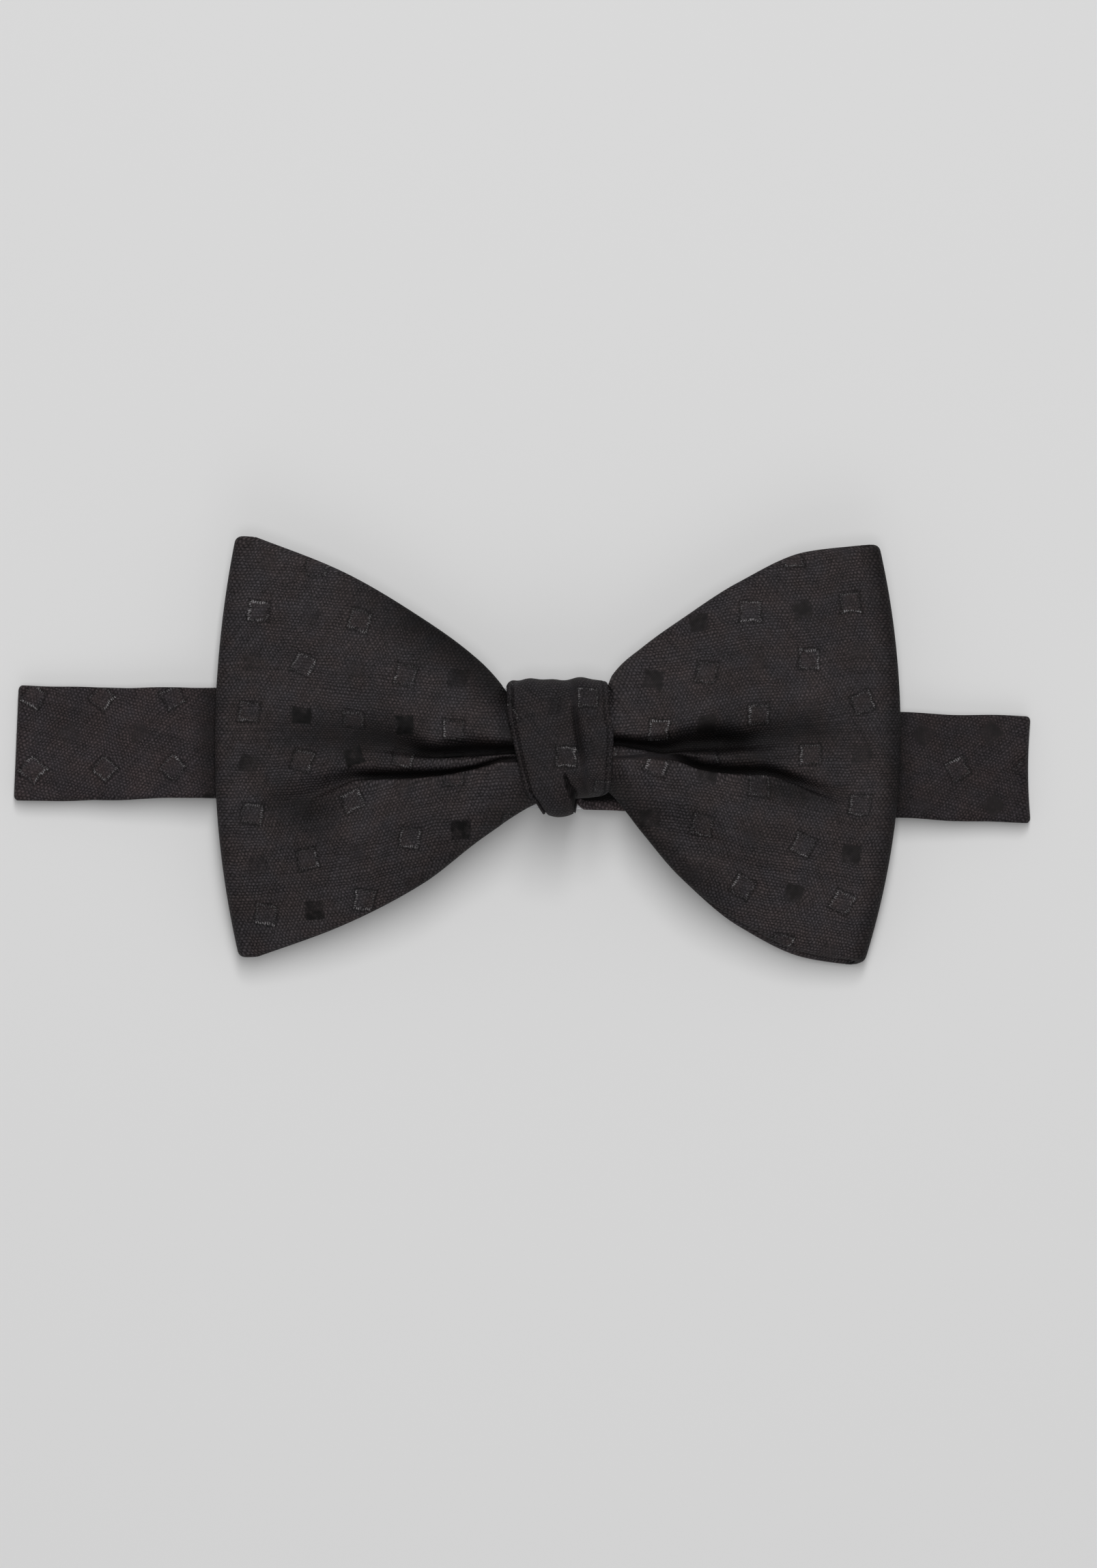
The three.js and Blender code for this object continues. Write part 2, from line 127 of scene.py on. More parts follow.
RIGHT_CREASES = [
    table(CREASE_COLUMNS,
        (0, 0.6, 5, 0.8, 0.9, 0.3),
        (9.6, 0.6, 6, 0.9, 0.9, 0.4),
        (14.1, 0, 6.4, 0.9, 1, 0.4),
        (18, -0.5, 6.4, 1.1, 1.6, 0.5),
        (22.7, 0.4, 6.4, 1.7, 2.2, 0.5),
        (28, 0.6, 5.8, 1.9, 2.2, 0.4),
        (32, 0.5, 3.6, 1.4, 2, 0.2),
        (36, 1, 1.6, 1.6, 2.6, 0),
        (42, 2.4, 0.6, 2.4, 3.6, 0),
        (50, 3.6, 0, 3, 4, 0),
    ),
    table(CREASE_COLUMNS,
        (15, -1.9, 0, 0.4, 0.4, 0),
        (20.3, -2.5, 3, 0.5, 0.6, 0.4),
        (24.6, -3.9, 4.8, 0.6, 0.9, 0.5),
        (30, -4.6, 5, 0.7, 1.1, 0.6),
        (35.6, -4.7, 4.4, 0.8, 1.2, 0.6),
        (41, -6.2, 3, 0.7, 1.2, 0.4),
        (45.6, -7.9, 1.4, 0.8, 1.4, 0.1),
        (52, -9.6, 0, 2, 2, 0),
    ),
    table(CREASE_COLUMNS,
        (9, -7.5, 0, 2, 2, 0),
        (15, -10.8, 1.6, 2.4, 2.6, 0),
        (22, -15, 1.6, 2.8, 3, 0),
        (29, -18.6, 0.9, 3.2, 3.4, 0),
        (38, -22, 0, 3.5, 3.5, 0),
    ),
]

# Tones that are set as painted shade, where the cloth turns softly away from the light beyond and beside the
# creases: how dark it gets at a reach and a height, and how wide that is below and above. A dark
# under nothing makes the cloth lighter, as the last table of each wing does towards one corner.
LEFT_SHADES = [
    table(SHADE_COLUMNS,
        (22, -0.4, 0, 2.6, 3.6),
        (26.5, 0.4, 0.55, 2.6, 3.8),
        (31, 1.2, 0.74, 3, 4.2),
        (36, 1.2, 0.62, 3, 4.4),
        (42, 1.6, 0.5, 3.2, 4.4),
        (48, 1.6, 0.34, 3.4, 4),
        (58, 1.4, 0.05, 3.4, 3.6),
    ),
    table(SHADE_COLUMNS,
        (37, -12, 0, 4, 4),
        (41, -12.5, 0.4, 4.5, 4.5),
        (45, -11, 0.52, 5, 4),
        (49, -9.5, 0.4, 4, 3.5),
        (54, -9, 0, 4, 3),
    ),
    table(SHADE_COLUMNS,
        (32, 26, 0, 9, 9),
        (46, 30, -0.12, 12, 9),
        (58, 30, -0.12, 12, 9),
    ),
]
RIGHT_SHADES = [
    table(SHADE_COLUMNS,
        (23, 3.2, 0, 2, 2),
        (27, 3, 0.5, 2.6, 2.6),
        (32, 2.2, 0.6, 3, 3.2),
        (37, 2.2, 0.66, 3, 3.2),
        (44, 3.2, 0.6, 3.4, 2.8),
        (49, 1.8, 0.34, 3.2, 3),
        (58, 0.5, 0.05, 3, 3),
    ),
    table(SHADE_COLUMNS,
        (30, -7, 0, 1.5, 2),
        (35.5, -7.4, 0.4, 2, 2),
        (40, -7.8, 0.6, 2.4, 2.4),
        (44.5, -8.4, 0.5, 2.4, 2.4),
        (51, -9.4, 0.1, 2.4, 2.4),
    ),
    table(SHADE_COLUMNS,
        (15, -0.9, 0, 1, 1),
        (20, -1.2, 0.42, 1.2, 1.4),
        (28, -1.8, 0.45, 1.5, 1.8),
        (35, -1.8, 0.36, 1.6, 2),
        (42, -2.4, 0, 1.6, 2),
    ),
    table(SHADE_COLUMNS,
        (32, -26, 0, 9, 9),
        (44, -28, -0.18, 12, 10),
        (58, -28, -0.2, 12, 10),
    ),
]

# The creases swallow some of the pattern. A row says how far up it is carried above both long
# creases, between them and below them.
LEFT_CARRIED = table("reach above between below",
    (9, 4.2, -3.4, -7.2),
    (17.6, 3.4, -3.2, -6.4),
    (26, 2.6, -0.7, -4.8),
    (35, 1.7, -1.2, -2.4),
    (44, 0.8, -0.5, -1),
    (54, 0, 0, 0),
)
RIGHT_CARRIED = table("reach above between below",
    (9, 5.8, 0.8, -7.6),
    (16.5, 5.2, 0.8, -6.9),
    (25, 3.8, 0.8, -5.6),
    (34, 1.9, 0.2, -3.3),
    (43, 1.4, 0, -1.8),
    (52, 0, 0, 0),
)

# The fold gives a wing's furthest reach at its upper and lower corners and how far it bows out
# between them. The back's lower edge peeks out below the face's by the peek. The pattern has a
# hollow square at the given place, which is the given column of the pattern.
LEFT_WING = {
    "side": -1,
    "sections": LEFT_SECTIONS,
    "creases": LEFT_CREASES,
    "fold": {"top": 56.9, "bottom": 56.7, "bow": 3.9},
    "peek": 0.0,
    "carried": LEFT_CARRIED,
    "square": {"reach": 54.4, "y": 6.0, "column": 0},
    "shades": LEFT_SHADES,
    # Painted shade for the upper edge and the lower edge near the knot, and for the fold.
    "dim": {"top": 0.78, "bottom": 0.25, "fold": 0.12},
    # A painted sheen that lightens the satin squares.
    "sheen": 0.02,
}
RIGHT_WING = {
    "side": 1,
    "sections": RIGHT_SECTIONS,
    "creases": RIGHT_CREASES,
    "fold": {"top": 56.1, "bottom": 53.9, "bow": 4.9},
    "peek": 1.0,
    "carried": RIGHT_CARRIED,
    "square": {"reach": 52.8, "y": 7.6, "column": 210},
    "shades": RIGHT_SHADES,
    # Painted shade for the upper edge and the lower edge near the knot, and for the fold.
    "dim": {"top": 0.0, "bottom": 0.5, "fold": 0.55},
    # A painted sheen that lightens the satin squares.
    "sheen": 0.2,
}
PEEK_REACH = (22, 34)
CORNER_RADIUS = 1.1
PATTERN_STRETCH = 0.972

# A wing lies level where the band passes behind it. Past that height its upper lobe rises and its
# lower lobe drops, and both have done so fully a span further out, at the fold.
LOBES = {"level_to": 12.5, "span": 25.0, "lift": 3.6, "drop": 6.2, "curve": 1.4}

# The middle of the knot's strip round the waist of the bow, and the radii that it bends to.
KNOT = {"top": 11.0, "bottom": -11.65, "front": 22.3, "back": 4.9, "front_radius": 6.0, "back_radius": 1.2}

# How far the knot's strip reaches to the left and right at places round it, in degrees: 0 is its
# top, 90 its front, 180 its bottom and 270 its back.
KNOT_EDGES = table("angle left right",
    (0, -9.4, 8.3),
    (50, -9.2, 8.7),
    (76, -8.4, 9.4),
    (108, -7.3, 9.2),
    (133, -6, 8.9),
    (150, -4.4, 8.8),
    (166, -3.4, 7.4),
    (178, -3.4, 3.2),
    (235, -3.4, 2.6),
    (270, -5.2, 4.6),
    (310, -8, 7),
    (360, -9.4, 8.3),
)

# To the right of a tuck, the lower end of the knot's face is drawn up and back. The tuck's line is
# given at heights down the face.
TUCK = {"rise": 3.2, "sink": 0.6, "start_y": -4.6, "fade_from": 15.0, "fade_to": 9.0, "width": 0.4}
TUCK_LINE = table("down x",
    (4.6, 0.5),
    (6.3, 1),
    (8, 1.5),
    (9.6, 2.4),
    (12, 2.6),
)

# The upright pleat in the knot's face, from its top to its bottom.
PLEAT_LINE = table("down x depth",
    (-7.5, 2.4, 0),
    (-5.6, 2.6, 0.7),
    (-3, 2.9, 1),
    (0, 3.4, 1.1),
    (1.8, 3.8, 0.6),
    (4.2, 4.2, 0),
)

# The pleat swallows this much of the knot's pattern, whose hollow square is this column of it.
KNOT_SQUARE = {"swallow": 3.4, "column": -8, "tilt": 9.5}
# A painted sheen that lightens the knot's satin squares.
KNOT_SHEEN = 0.12

# The neck band is one strip, folded flat on itself at both ends. These are its width and the height
# of the middle of its front run and of its rear run at places along it.
BAND_SECTIONS = table("x front rear width",
    (-96.2, 0.4, 0.4, 20.4),
    (-62, 0.5, 0.5, 19.4),
    (-16, -0.8, -0.1, 19),
    (0, -1.5, -0.6, 19),
    (16, -2.1, -1.1, 19),
    (60, -3.4, -3.3, 18.7),
    (83.2, -4.25, -4.25, 18.9),
)
BAND = {
    "left_end": -96.2, "right_end": 83.2, "front_level": 6.75, "end_level": 3.6, "rise": 38.0,
    "clasp_length": 22.0, "clasp_wall": 0.7, "in_clasp": 10.0, "straight": 0.5, "ramp": 6.5, "clearance": 0.3,
}
BAND_SQUARE = {"x": -80.6, "y": -4.0, "column": 598}
# A painted sheen that lightens the band's satin squares.
BAND_SHEEN = 0.28


def length_setting(name, description, default):
    return FloatProperty(name=name, description=description, default=default, unit="LENGTH")


def colour_setting(name, description, red, green, blue):
    return FloatVectorProperty(
        name=name, description=description, subtype="COLOR", size=4, default=(red, green, blue, 1),
        min=0, max=1)


class ShapeSettings(bpy.types.PropertyGroup):
    """The sizes of the bow tie's cloth."""

    wing_cloth: length_setting("Wing Cloth", "Thickness of a wing's cloth", 0.0014)
    knot_cloth: length_setting("Knot Cloth", "Thickness of the knot's cloth", 0.0011)
    band_cloth: length_setting("Band Cloth", "Thickness of the neck band", 0.0015)
    crease: FloatProperty(
        name="Creases", description="Depth of the creases, as a share of the real ones",
        default=1.0, min=0, max=1.2)
    ripple: length_setting("Ripple", "Height of the soft ripples in the cloth", 0.00012)


class ClothSettings(bpy.types.PropertyGroup):
    """The colours and the weave of the bow tie's cloth."""

    wing_colour: colour_setting("Wing Colour", "Colour of the wings' cloth", 0.0402, 0.0347, 0.0356)
    knot_colour: colour_setting("Knot Colour", "Colour of the knot's cloth", 0.0272, 0.0239, 0.0249)
    band_colour: colour_setting("Band Colour", "Colour of the neck band", 0.0418, 0.0342, 0.0355)
    light_thread: colour_setting(
        "Light Thread", "Colour of the threads that outline the hollow squares", 0.215, 0.205, 0.21)
    thread_pitch: length_setting("Thread Pitch", "Distance between threads of the weave", 0.00053)
    square_pitch: length_setting("Square Pitch", "Distance between the woven squares", 0.0089)
    hollow_size: length_setting("Hollow Square", "Width of a hollow square's outline", 0.0031)
    filled_size: length_setting("Filled Square", "Width of a filled square", 0.0032)


class StageSettings(bpy.types.PropertyGroup):
    """The floor, the lights and the camera."""

    floor_colour: colour_setting("Floor", "Colour of the floor", 0.8, 0.8, 0.8)
    main_power: FloatProperty(name="Main Light", description="Power of the light overhead", default=17.9)
    low_power: FloatProperty(
        name="Low Light", description="Power of the low light below the picture", default=1.6)
    world_power: FloatProperty(name="Room Light", description="Strength of the light all round", default=0.22)
    camera_distance: length_setting("Camera Distance", "Height of the camera above the bow", 1.4)


def maths(operation):
    """A method that adds a Math node to a value."""

    def method(self, *others):
        return self.nodes.value("ShaderNodeMath", {"operation": operation}, self, *others)

    return method


class Value:
    """A shader socket that carries a number, so that sums on it add Math nodes."""

    __add__ = __radd__ = maths("ADD")
    __sub__ = maths("SUBTRACT")
    __mul__ = __rmul__ = maths("MULTIPLY")
    __truediv__ = maths("DIVIDE")
    __gt__ = maths("GREATER_THAN")
    __abs__ = maths("ABSOLUTE")
    __mod__ = maths("FLOORED_MODULO")
    floor = maths("FLOOR")
    sine = maths("SINE")
    cosine = maths("COSINE")
    largest = maths("MAXIMUM")
    least = maths("MINIMUM")

    def __init__(self, nodes, socket):
        self.nodes = nodes
        self.socket = socket

    def __rsub__(self, other):
        return self.nodes.value("ShaderNodeMath", {"operation": "SUBTRACT"}, other, self)

    def step(self, start, end):
        """0 below start, 1 above end and a soft step between, or the other way round."""
        return self.nodes.value(
            "ShaderNodeMapRange", {"interpolation_type": "SMOOTHSTEP"}, self, start, end, 0.0, 1.0)


class Nodes:
    """The nodes of one material."""

    def __init__(self, name):
        self.material = bpy.data.materials.new(name)
        self.material.use_nodes = True
        self.tree = self.material.node_tree
        self.shader = self.tree.nodes["Principled BSDF"]

    def node(self, kind, settings=None, *values, **named):
        """A node of a kind, with its settings and then the values or links of its sockets."""
        node = self.tree.nodes.new(kind)
        for key, setting in (settings or {}).items():
            setattr(node, key, setting)
        for place, value in [*enumerate(values), *named.items()]:
            self.put(node.inputs[place], value)
        return node

    def put(self, socket, value):
        """Links a value to a socket, or sets the socket to it."""
        if isinstance(value, Value):
            self.tree.links.new(value.socket, socket)
        elif isinstance(value, bpy.types.NodeSocket):
            self.tree.links.new(value, socket)
        else:
            socket.default_value = value

    def value(self, kind, settings, *values):
        return Value(self, self.node(kind, settings, *values).outputs[0])

    def vector(self, x, y, z=0.0):
        return self.node("ShaderNodeCombineXYZ", None, x, y, z).outputs[0]

    def parts(self, vector):
        """The X, Y and Z of a vector as values."""
        return [Value(self, part) for part in self.node("ShaderNodeSeparateXYZ", None, vector).outputs]

    def random(self, vector):
        """A number and three more that jump from one whole vector to the next."""
        node = self.node("ShaderNodeTexWhiteNoise", {"noise_dimensions": "3D"}, vector)
        return Value(self, node.outputs["Value"]), self.parts(node.outputs["Color"])

    def noise(self, vector, scale, detail):
        """A soft noise, about 0 to 1."""
        settings = {"noise_dimensions": "3D"}
        node = self.node("ShaderNodeTexNoise", settings, Vector=vector, Scale=scale, Detail=detail)
        return Value(self, node.outputs["Fac"])

    def mix(self, share, first, second):
        """One colour turned into another by a share."""
        node = self.node("ShaderNodeMix", {"data_type": "RGBA"})
        for place, value in ((0, share), (6, first), (7, second)):
            self.put(node.inputs[place], value)
        return node.outputs[2]

    def tint(self, colour, share):
        """A colour made darker or lighter by a value."""
        node = self.node("ShaderNodeMix", {"data_type": "RGBA", "blend_type": "MULTIPLY"})
        grey = self.node("ShaderNodeCombineColor", None, share, share, share).outputs[0]
        for place, value in ((0, 1.0), (6, colour), (7, grey)):
            self.put(node.inputs[place], value)
        return node.outputs[2]

    def held(self, name):
        """What the mesh's points hold under a name."""
        return Value(self, self.node("ShaderNodeAttribute", {"attribute_name": name}).outputs["Fac"])


# The start of the pattern's chances, and how far its squares and its threads wander, in millimetres.
PATTERN_SEED = 23729.0
SQUARE_WANDER = 0.6
FAR_WANDER = 0.8
NEAR_WANDER = 0.14

# A hollow square's stitches and a filled square's ribs are this far apart.
STITCH_PITCH = 0.4
RIB_PITCH = 0.42

# Each row of the weave's beads is turned from the next by a sixth of a turn.
BEAD_COS = 0.866
BEAD_SIN = 0.5

# The weave's colour drifts between a warmer and a cooler one.
WARM = (1.06, 0.98, 0.97)
COOL = (0.95, 0.98, 1.05)


def squares(nodes, u, v, cloth):
    """Masks of the outlines' stitches, of their edges and of the filled squares, which take turns, and
    how far places are from the middle of their square."""
    pitch = cloth.square_pitch / MM
    column = (u / pitch + 0.5).floor()
    row = (v / pitch + 0.5).floor()
    chance, (_, shift_x, shift_y) = nodes.random(nodes.vector(column, row, PATTERN_SEED))
    angle = ((shift_x * 7.0 + shift_y * 3.0) % 1.0 - 0.5) * 0.7
    x = u - column * pitch + (shift_x - 0.5) * SQUARE_WANDER
    y = v - row * pitch + (shift_y - 0.5) * SQUARE_WANDER
    turned_x = x * angle.cosine() + y * angle.sine()
    turned_y = y * angle.cosine() - x * angle.sine()
    wide, high = abs(turned_x), abs(turned_y)
    size = wide.largest(high)
    is_filled = (column + row) % 2.0
    is_hollow = 1.0 - is_filled
    # Each side of an outline is a row of slanted stitches with a brightness of its own.
    upright = wide > high
    side = (turned_x > turned_y) * 2.0 + (turned_x + turned_y > 0.0)
    bright, (side_width, slant, _) = nodes.random(nodes.vector(column, row, side + 7.0))
    rough = nodes.noise(nodes.vector(u, v, 21.0), 2.6, 2.0) - 0.5
    wobble = nodes.noise(nodes.vector(u, v, 22.0), 0.7, 1.0) - 0.5
    from_line = size - cloth.hollow_size / MM / 2 + rough * 0.5 + wobble * 0.7
    run = turned_y * upright + turned_x * (1.0 - upright)
    stitches = run / STITCH_PITCH + from_line * (0.2 + 0.9 * slant) + rough * 0.9
    stitch_place = nodes.vector(stitches.floor(), column + row * 17.0, side)
    stitch_chance, (_, stitch_shift, _) = nodes.random(stitch_place)
    stitch = (stitches * TURN).cosine().step(-1.1, 0.8)
    from_stitch = abs(from_line + (stitch_shift - 0.5) * 0.22)
    line = 1.0 - from_stitch.step(0.02 + 0.08 * side_width, 0.15 + 0.11 * side_width)
    brightness = (bright * bright * 0.75 + 0.2) * (stitch_chance.step(0.0, 0.9) * 1.2 + 0.14)
    outline = line * is_hollow * stitch * brightness
    edge = (1.0 - abs(from_line - 0.18).step(0.22, 0.48)) * is_hollow * (rough * 1.6 + 0.9)
    half_filled = cloth.filled_size / MM / 2
    depth = 0.3 + 0.7 * chance.step(0.35, 0.6)
    ribs = ((u - v) * (TURN / RIB_PITCH)).cosine() * 0.5 + 0.5
    patchy = 0.62 + 0.38 * nodes.noise(nodes.vector(u, v, 23.0), 0.45, 1.0).step(0.38, 0.56)
    ragged = size + rough * 0.8 + wobble * 0.7
    filled = (1.0 - ragged.step(half_filled - 0.2, half_filled + 0.2)) * is_filled * depth * patchy
    return outline, edge, filled, size, ribs


def cloth_material(name, colour, cloth):
    """The bead-like weave, with its squares, on the cloth's own UV map in millimetres."""
    nodes = Nodes(name)
    uv = nodes.node("ShaderNodeUVMap", {"uv_map": "cloth"}).outputs[0]
    u, v, _ = nodes.parts(uv)
    pitch = cloth.thread_pitch / MM
    # The threads wander a little, so the weave is never a perfect grid.
    far_u, far_v = nodes.noise(uv, 0.4, 1.0), nodes.noise(nodes.vector(u + 40.0, v), 0.4, 1.0)
    near_u, near_v = nodes.noise(uv, 1.9, 1.0), nodes.noise(nodes.vector(u + 40.0, v), 1.9, 1.0)
    wander_u = u + (far_u - 0.5) * FAR_WANDER + (near_u - 0.5) * NEAR_WANDER
    wander_v = v + (far_v - 0.5) * FAR_WANDER + (near_v - 0.5) * NEAR_WANDER
    wave_u, wave_v = wander_u * (TURN / pitch), wander_v * (TURN / pitch)
    crimp = nodes.noise(nodes.vector(u, v, 33.0), 5.5, 2.0) - 0.5
    # Each row of beads lies between those of the next, and in some places the rows show more.
    ribbed = nodes.noise(nodes.vector(u, v, 80.0), 0.13, 1.0).step(0.4, 0.62)
    beads = (
        wave_v.cosine() * (0.75 + 0.7 * ribbed) + (wave_u * BEAD_COS + wave_v * BEAD_SIN).cosine()
        + (wave_u * BEAD_COS - wave_v * BEAD_SIN).cosine() + 1.4 * crimp
    )
    bead_v = (wander_v / pitch + 0.5).floor()
    bead_u = (wander_u / pitch * BEAD_COS + bead_v * BEAD_SIN + 0.5).floor()
    bead_chance, _ = nodes.random(nodes.vector(bead_u, bead_v))
    thread_chance, _ = nodes.random(nodes.vector(bead_u, 0.0, 11.0))
    cross_chance, _ = nodes.random(nodes.vector(0.0, bead_v, 12.0))
    patch = nodes.noise(uv, 0.14, 3.0)
    hue = nodes.noise(nodes.vector(u, v, 60.0), 0.22, 2.0)
    outline, edge, filled, size, ribs = squares(nodes, u, v, cloth)
    plain = 1.0 - filled
    dots = beads.step(-1.3, 2.1)
    inside = (1.0 - size.step(1.0, 1.5)) * 0.3
    # The beads are lighter and the gaps between them darker: partly the weave's own pattern, and partly a
    # painted highlight on each bead and painted shade between them.
    tone = (
        0.46 + lerp(dots, 0.45, inside) * (0.84 + 0.5 * (bead_chance - 0.5)) + 1.5 * crimp
        + 0.14 * (thread_chance - 0.5) + 0.14 * (cross_chance - 0.5)
    )
    tone = tone * (0.72 + 0.56 * patch) * (1.0 - 0.5 * edge)
    # The points' painted shade darkens the colour, and where it is under nothing it is painted light.
    shade = nodes.held("shade")
    warm, cool = (
        (*(part * factor for part, factor in zip(colour, factors)), 1.0) for factors in (WARM, COOL))
    tinted = nodes.mix(hue.step(0.3, 0.7), warm, cool)
    # The sheen is a painted sheen, set for each piece, that lightens its satin squares.
    sheen = nodes.held("sheen")
    satin = nodes.tint(tuple(colour), 0.04 + sheen + 0.3 * ribs * bead_chance)
    surface = nodes.mix(filled, nodes.tint(tinted, tone), satin)
    lit = nodes.mix(outline.least(1.0), surface, tuple(cloth.light_thread))
    nodes.put(nodes.shader.inputs["Base Color"], nodes.tint(lit, 1.0 - shade))
    nodes.put(nodes.shader.inputs["Roughness"], 0.7 - 0.2 * outline.least(1.0))
    height = dots * plain * 0.085 + outline.least(0.6) * 0.1 - edge * 0.03 - filled * 0.03
    bump = nodes.node("ShaderNodeBump", None, Strength=1.0, Distance=MM, Height=height)
    nodes.put(nodes.shader.inputs["Normal"], bump.outputs[0])
    nodes.shader.inputs["Specular IOR Level"].default_value = 0.14
    return nodes.material


def smooth_column(rows, column):
    """A smooth curve through a column of a table, which never swings past its rows."""
    places = np.array([next(iter(row.values())) for row in rows], float)
    values = np.array([row[column] for row in rows], float)
    slopes = np.diff(values) / np.diff(places)
    product = slopes[:-1] * slopes[1:]
    total = np.where(product > 0, slopes[:-1] + slopes[1:], 1)
    inner = np.where(product > 0, 2 * product / total, 0)
    tangents = np.concatenate([slopes[:1], inner, slopes[-1:]])

    def curve(place):
        place = np.clip(place, places[0], places[-1])
        i = np.clip(np.searchsorted(places, place, side="right") - 1, 0, len(rows) - 2)
        step = places[i + 1] - places[i]
        t = (place - places[i]) / step
        rest = 1 - t
        bend = step * t * rest * (tangents[i] * rest - tangents[i + 1] * t)
        return values[i] * rest**2 * (1 + 2 * t) + values[i + 1] * t**2 * (3 - 2 * t) + bend

    return curve


def read_table(rows, places, *columns):
    """The values of some columns of a table at places."""
    return [smooth_column(rows, column)(places) for column in columns]


def smooth_step(value, start, end):
    t = np.clip((value - start) / (end - start), 0, 1)
    return t * t * (3 - 2 * t)


def lerp(first, second, share):
    return first + (second - first) * share


def bell(distance, width):
    return np.exp(-((distance / width) ** 2))


def widened(values, count):
    """A column of values as a grid with the same value all along each row."""
    return np.repeat(values[:, None], count, axis=1)


def evenly(points, spacing):
    """Evenly spaced points along a route, and their distances from its start."""
    length = np.concatenate([[0], np.linalg.norm(np.diff(points, axis=0), axis=1).cumsum()])
    even = np.linspace(0, length[-1], round(length[-1] / spacing) + 1)
    return np.stack([np.interp(even, length, points[:, axis]) for axis in (0, 1)], axis=1), even


def unit_tangents(route):
    tangents = np.gradient(route, axis=0)
    return tangents / np.linalg.norm(tangents, axis=1, keepdims=True)


def over_width(width, thickness, count):
    """Distances from one rim of a strip to the other, closer together at both rims."""
    rim = RIM * thickness
    inner = rim[-1] + np.linspace(0, 1, count)[None, 1:-1] * (width - 2 * rim[-1])
    return np.concatenate([np.repeat(rim[None], len(width), axis=0), inner, width - rim[::-1]], axis=1)


def surface_normals(points, like):
    """The unit normals of a grid of points, on the side that the vector like points to."""
    normals = np.cross(np.gradient(points, axis=0), np.gradient(points, axis=1))
    normals /= np.maximum(np.linalg.norm(normals, axis=2, keepdims=True), 1e-9)
    facing = np.sign((normals * like).sum(axis=2, keepdims=True))
    return normals * np.where(facing == 0, 1, facing)


def rim_share(distance, thickness):
    """The share of the cloth's thickness at a distance from its edge, which is rounded."""
    radius = RIM_RADIUS * thickness
    return np.sqrt(np.clip(1 - (1 - np.clip(distance / radius, 0, 1)) ** 2, 0, 1))


def cloth_piece(name, middle, normals, half, uv, shade, sheen, looped=False):
    """A closed piece of cloth round a grid of middle points, whose thickness is nothing at its rims.
    Its shade is the painted shade that darkens it at each point, or painted light where it is under
    nothing, and its sheen is a painted sheen that lightens its satin squares."""
    rows, columns = half.shape
    outer = middle + normals * half[..., None]
    inner = (middle - normals * half[..., None])[:, 1:-1]
    points = np.concatenate([outer.reshape(-1, 3), inner.reshape(-1, 3)])
    points[:, 0] += KNOT_PLACE[0]
    points[:, 1] += KNOT_PLACE[1]
    outer_index = np.arange(rows * columns).reshape(rows, columns)
    inner_index = outer_index.copy()
    inner_index[:, 1:-1] = rows * columns + np.arange(rows * (columns - 2)).reshape(rows, columns - 2)
    grid_uv = uv.reshape(rows, columns, 2)
    if looped:
        round_trip = uv[-1] + (uv[-1] - uv[-2])
        grid_uv = np.concatenate([grid_uv, round_trip[None]])
        outer_index = np.concatenate([outer_index, outer_index[:1]])
        inner_index = np.concatenate([inner_index, inner_index[:1]])
    corners = ((slice(None, -1), slice(None, -1)), (slice(1, None), slice(None, -1)),
               (slice(1, None), slice(1, None)), (slice(None, -1), slice(1, None)))
    outer_faces = np.stack([outer_index[c] for c in corners], axis=2).reshape(-1, 4)
    inner_faces = np.stack([inner_index[c] for c in reversed(corners)], axis=2).reshape(-1, 4)
    face_uv = [np.stack([grid_uv[c] for c in order], axis=2).reshape(-1, 4, 2)
               for order in (corners, tuple(reversed(corners)))]
    faces = [*outer_faces.tolist(), *inner_faces.tolist()]
    loops_uv = [*np.concatenate(face_uv).reshape(-1, 2)]
    if not looped:
        for row, step in ((0, 1), (-1, -1)):
            rim = [*outer_index[row], *inner_index[row][1:-1][::-1]][::step]
            faces.append([int(i) for i in rim])
            loops_uv += [grid_uv[row][0]] * len(rim)
    mesh = bpy.data.meshes.new(name)
    mesh.from_pydata((points * MM).tolist(), [], faces)
    mesh.uv_layers.new(name="cloth").data.foreach_set("uv", np.array(loops_uv, np.float32).ravel())
    shades = np.concatenate([shade.ravel(), shade[:, 1:-1].ravel()]).astype(np.float32)
    for key, values in (("shade", shades), ("sheen", np.full(len(shades), sheen, np.float32))):
        mesh.attributes.new(key, "FLOAT", "POINT").data.foreach_set("value", values)
    tidy = bmesh.new()
    tidy.from_mesh(mesh)
    bmesh.ops.triangulate(tidy, faces=[face for face in tidy.faces if len(face.verts) > 4])
    bmesh.ops.recalc_face_normals(tidy, faces=tidy.faces)
    tidy.to_mesh(mesh)
    tidy.free()
    mesh.polygons.foreach_set("use_smooth", np.ones(len(mesh.polygons), bool))
    piece = bpy.data.objects.new(name, mesh)
    bpy.context.scene.collection.objects.link(piece)
    return piece


def finish_piece(piece, material, node):
    """Gives a piece its material, says what it rides on and hides the part that it stands for."""
    piece.data.materials.append(material)
    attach(piece, "root")
    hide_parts(node)


def ripples(reach, y):
    """Soft uneven ripples, about -1 to 1, the same on each run."""
    waves = [(0.31, 0.22, 0.4), (0.17, -0.37, 2.1), (0.52, 0.11, 4.0), (-0.23, 0.55, 1.3), (0.71, -0.48, 5.2)]
    return sum(np.sin(a * reach + b * y + c) for a, b, c in waves) / len(waves) * 1.6


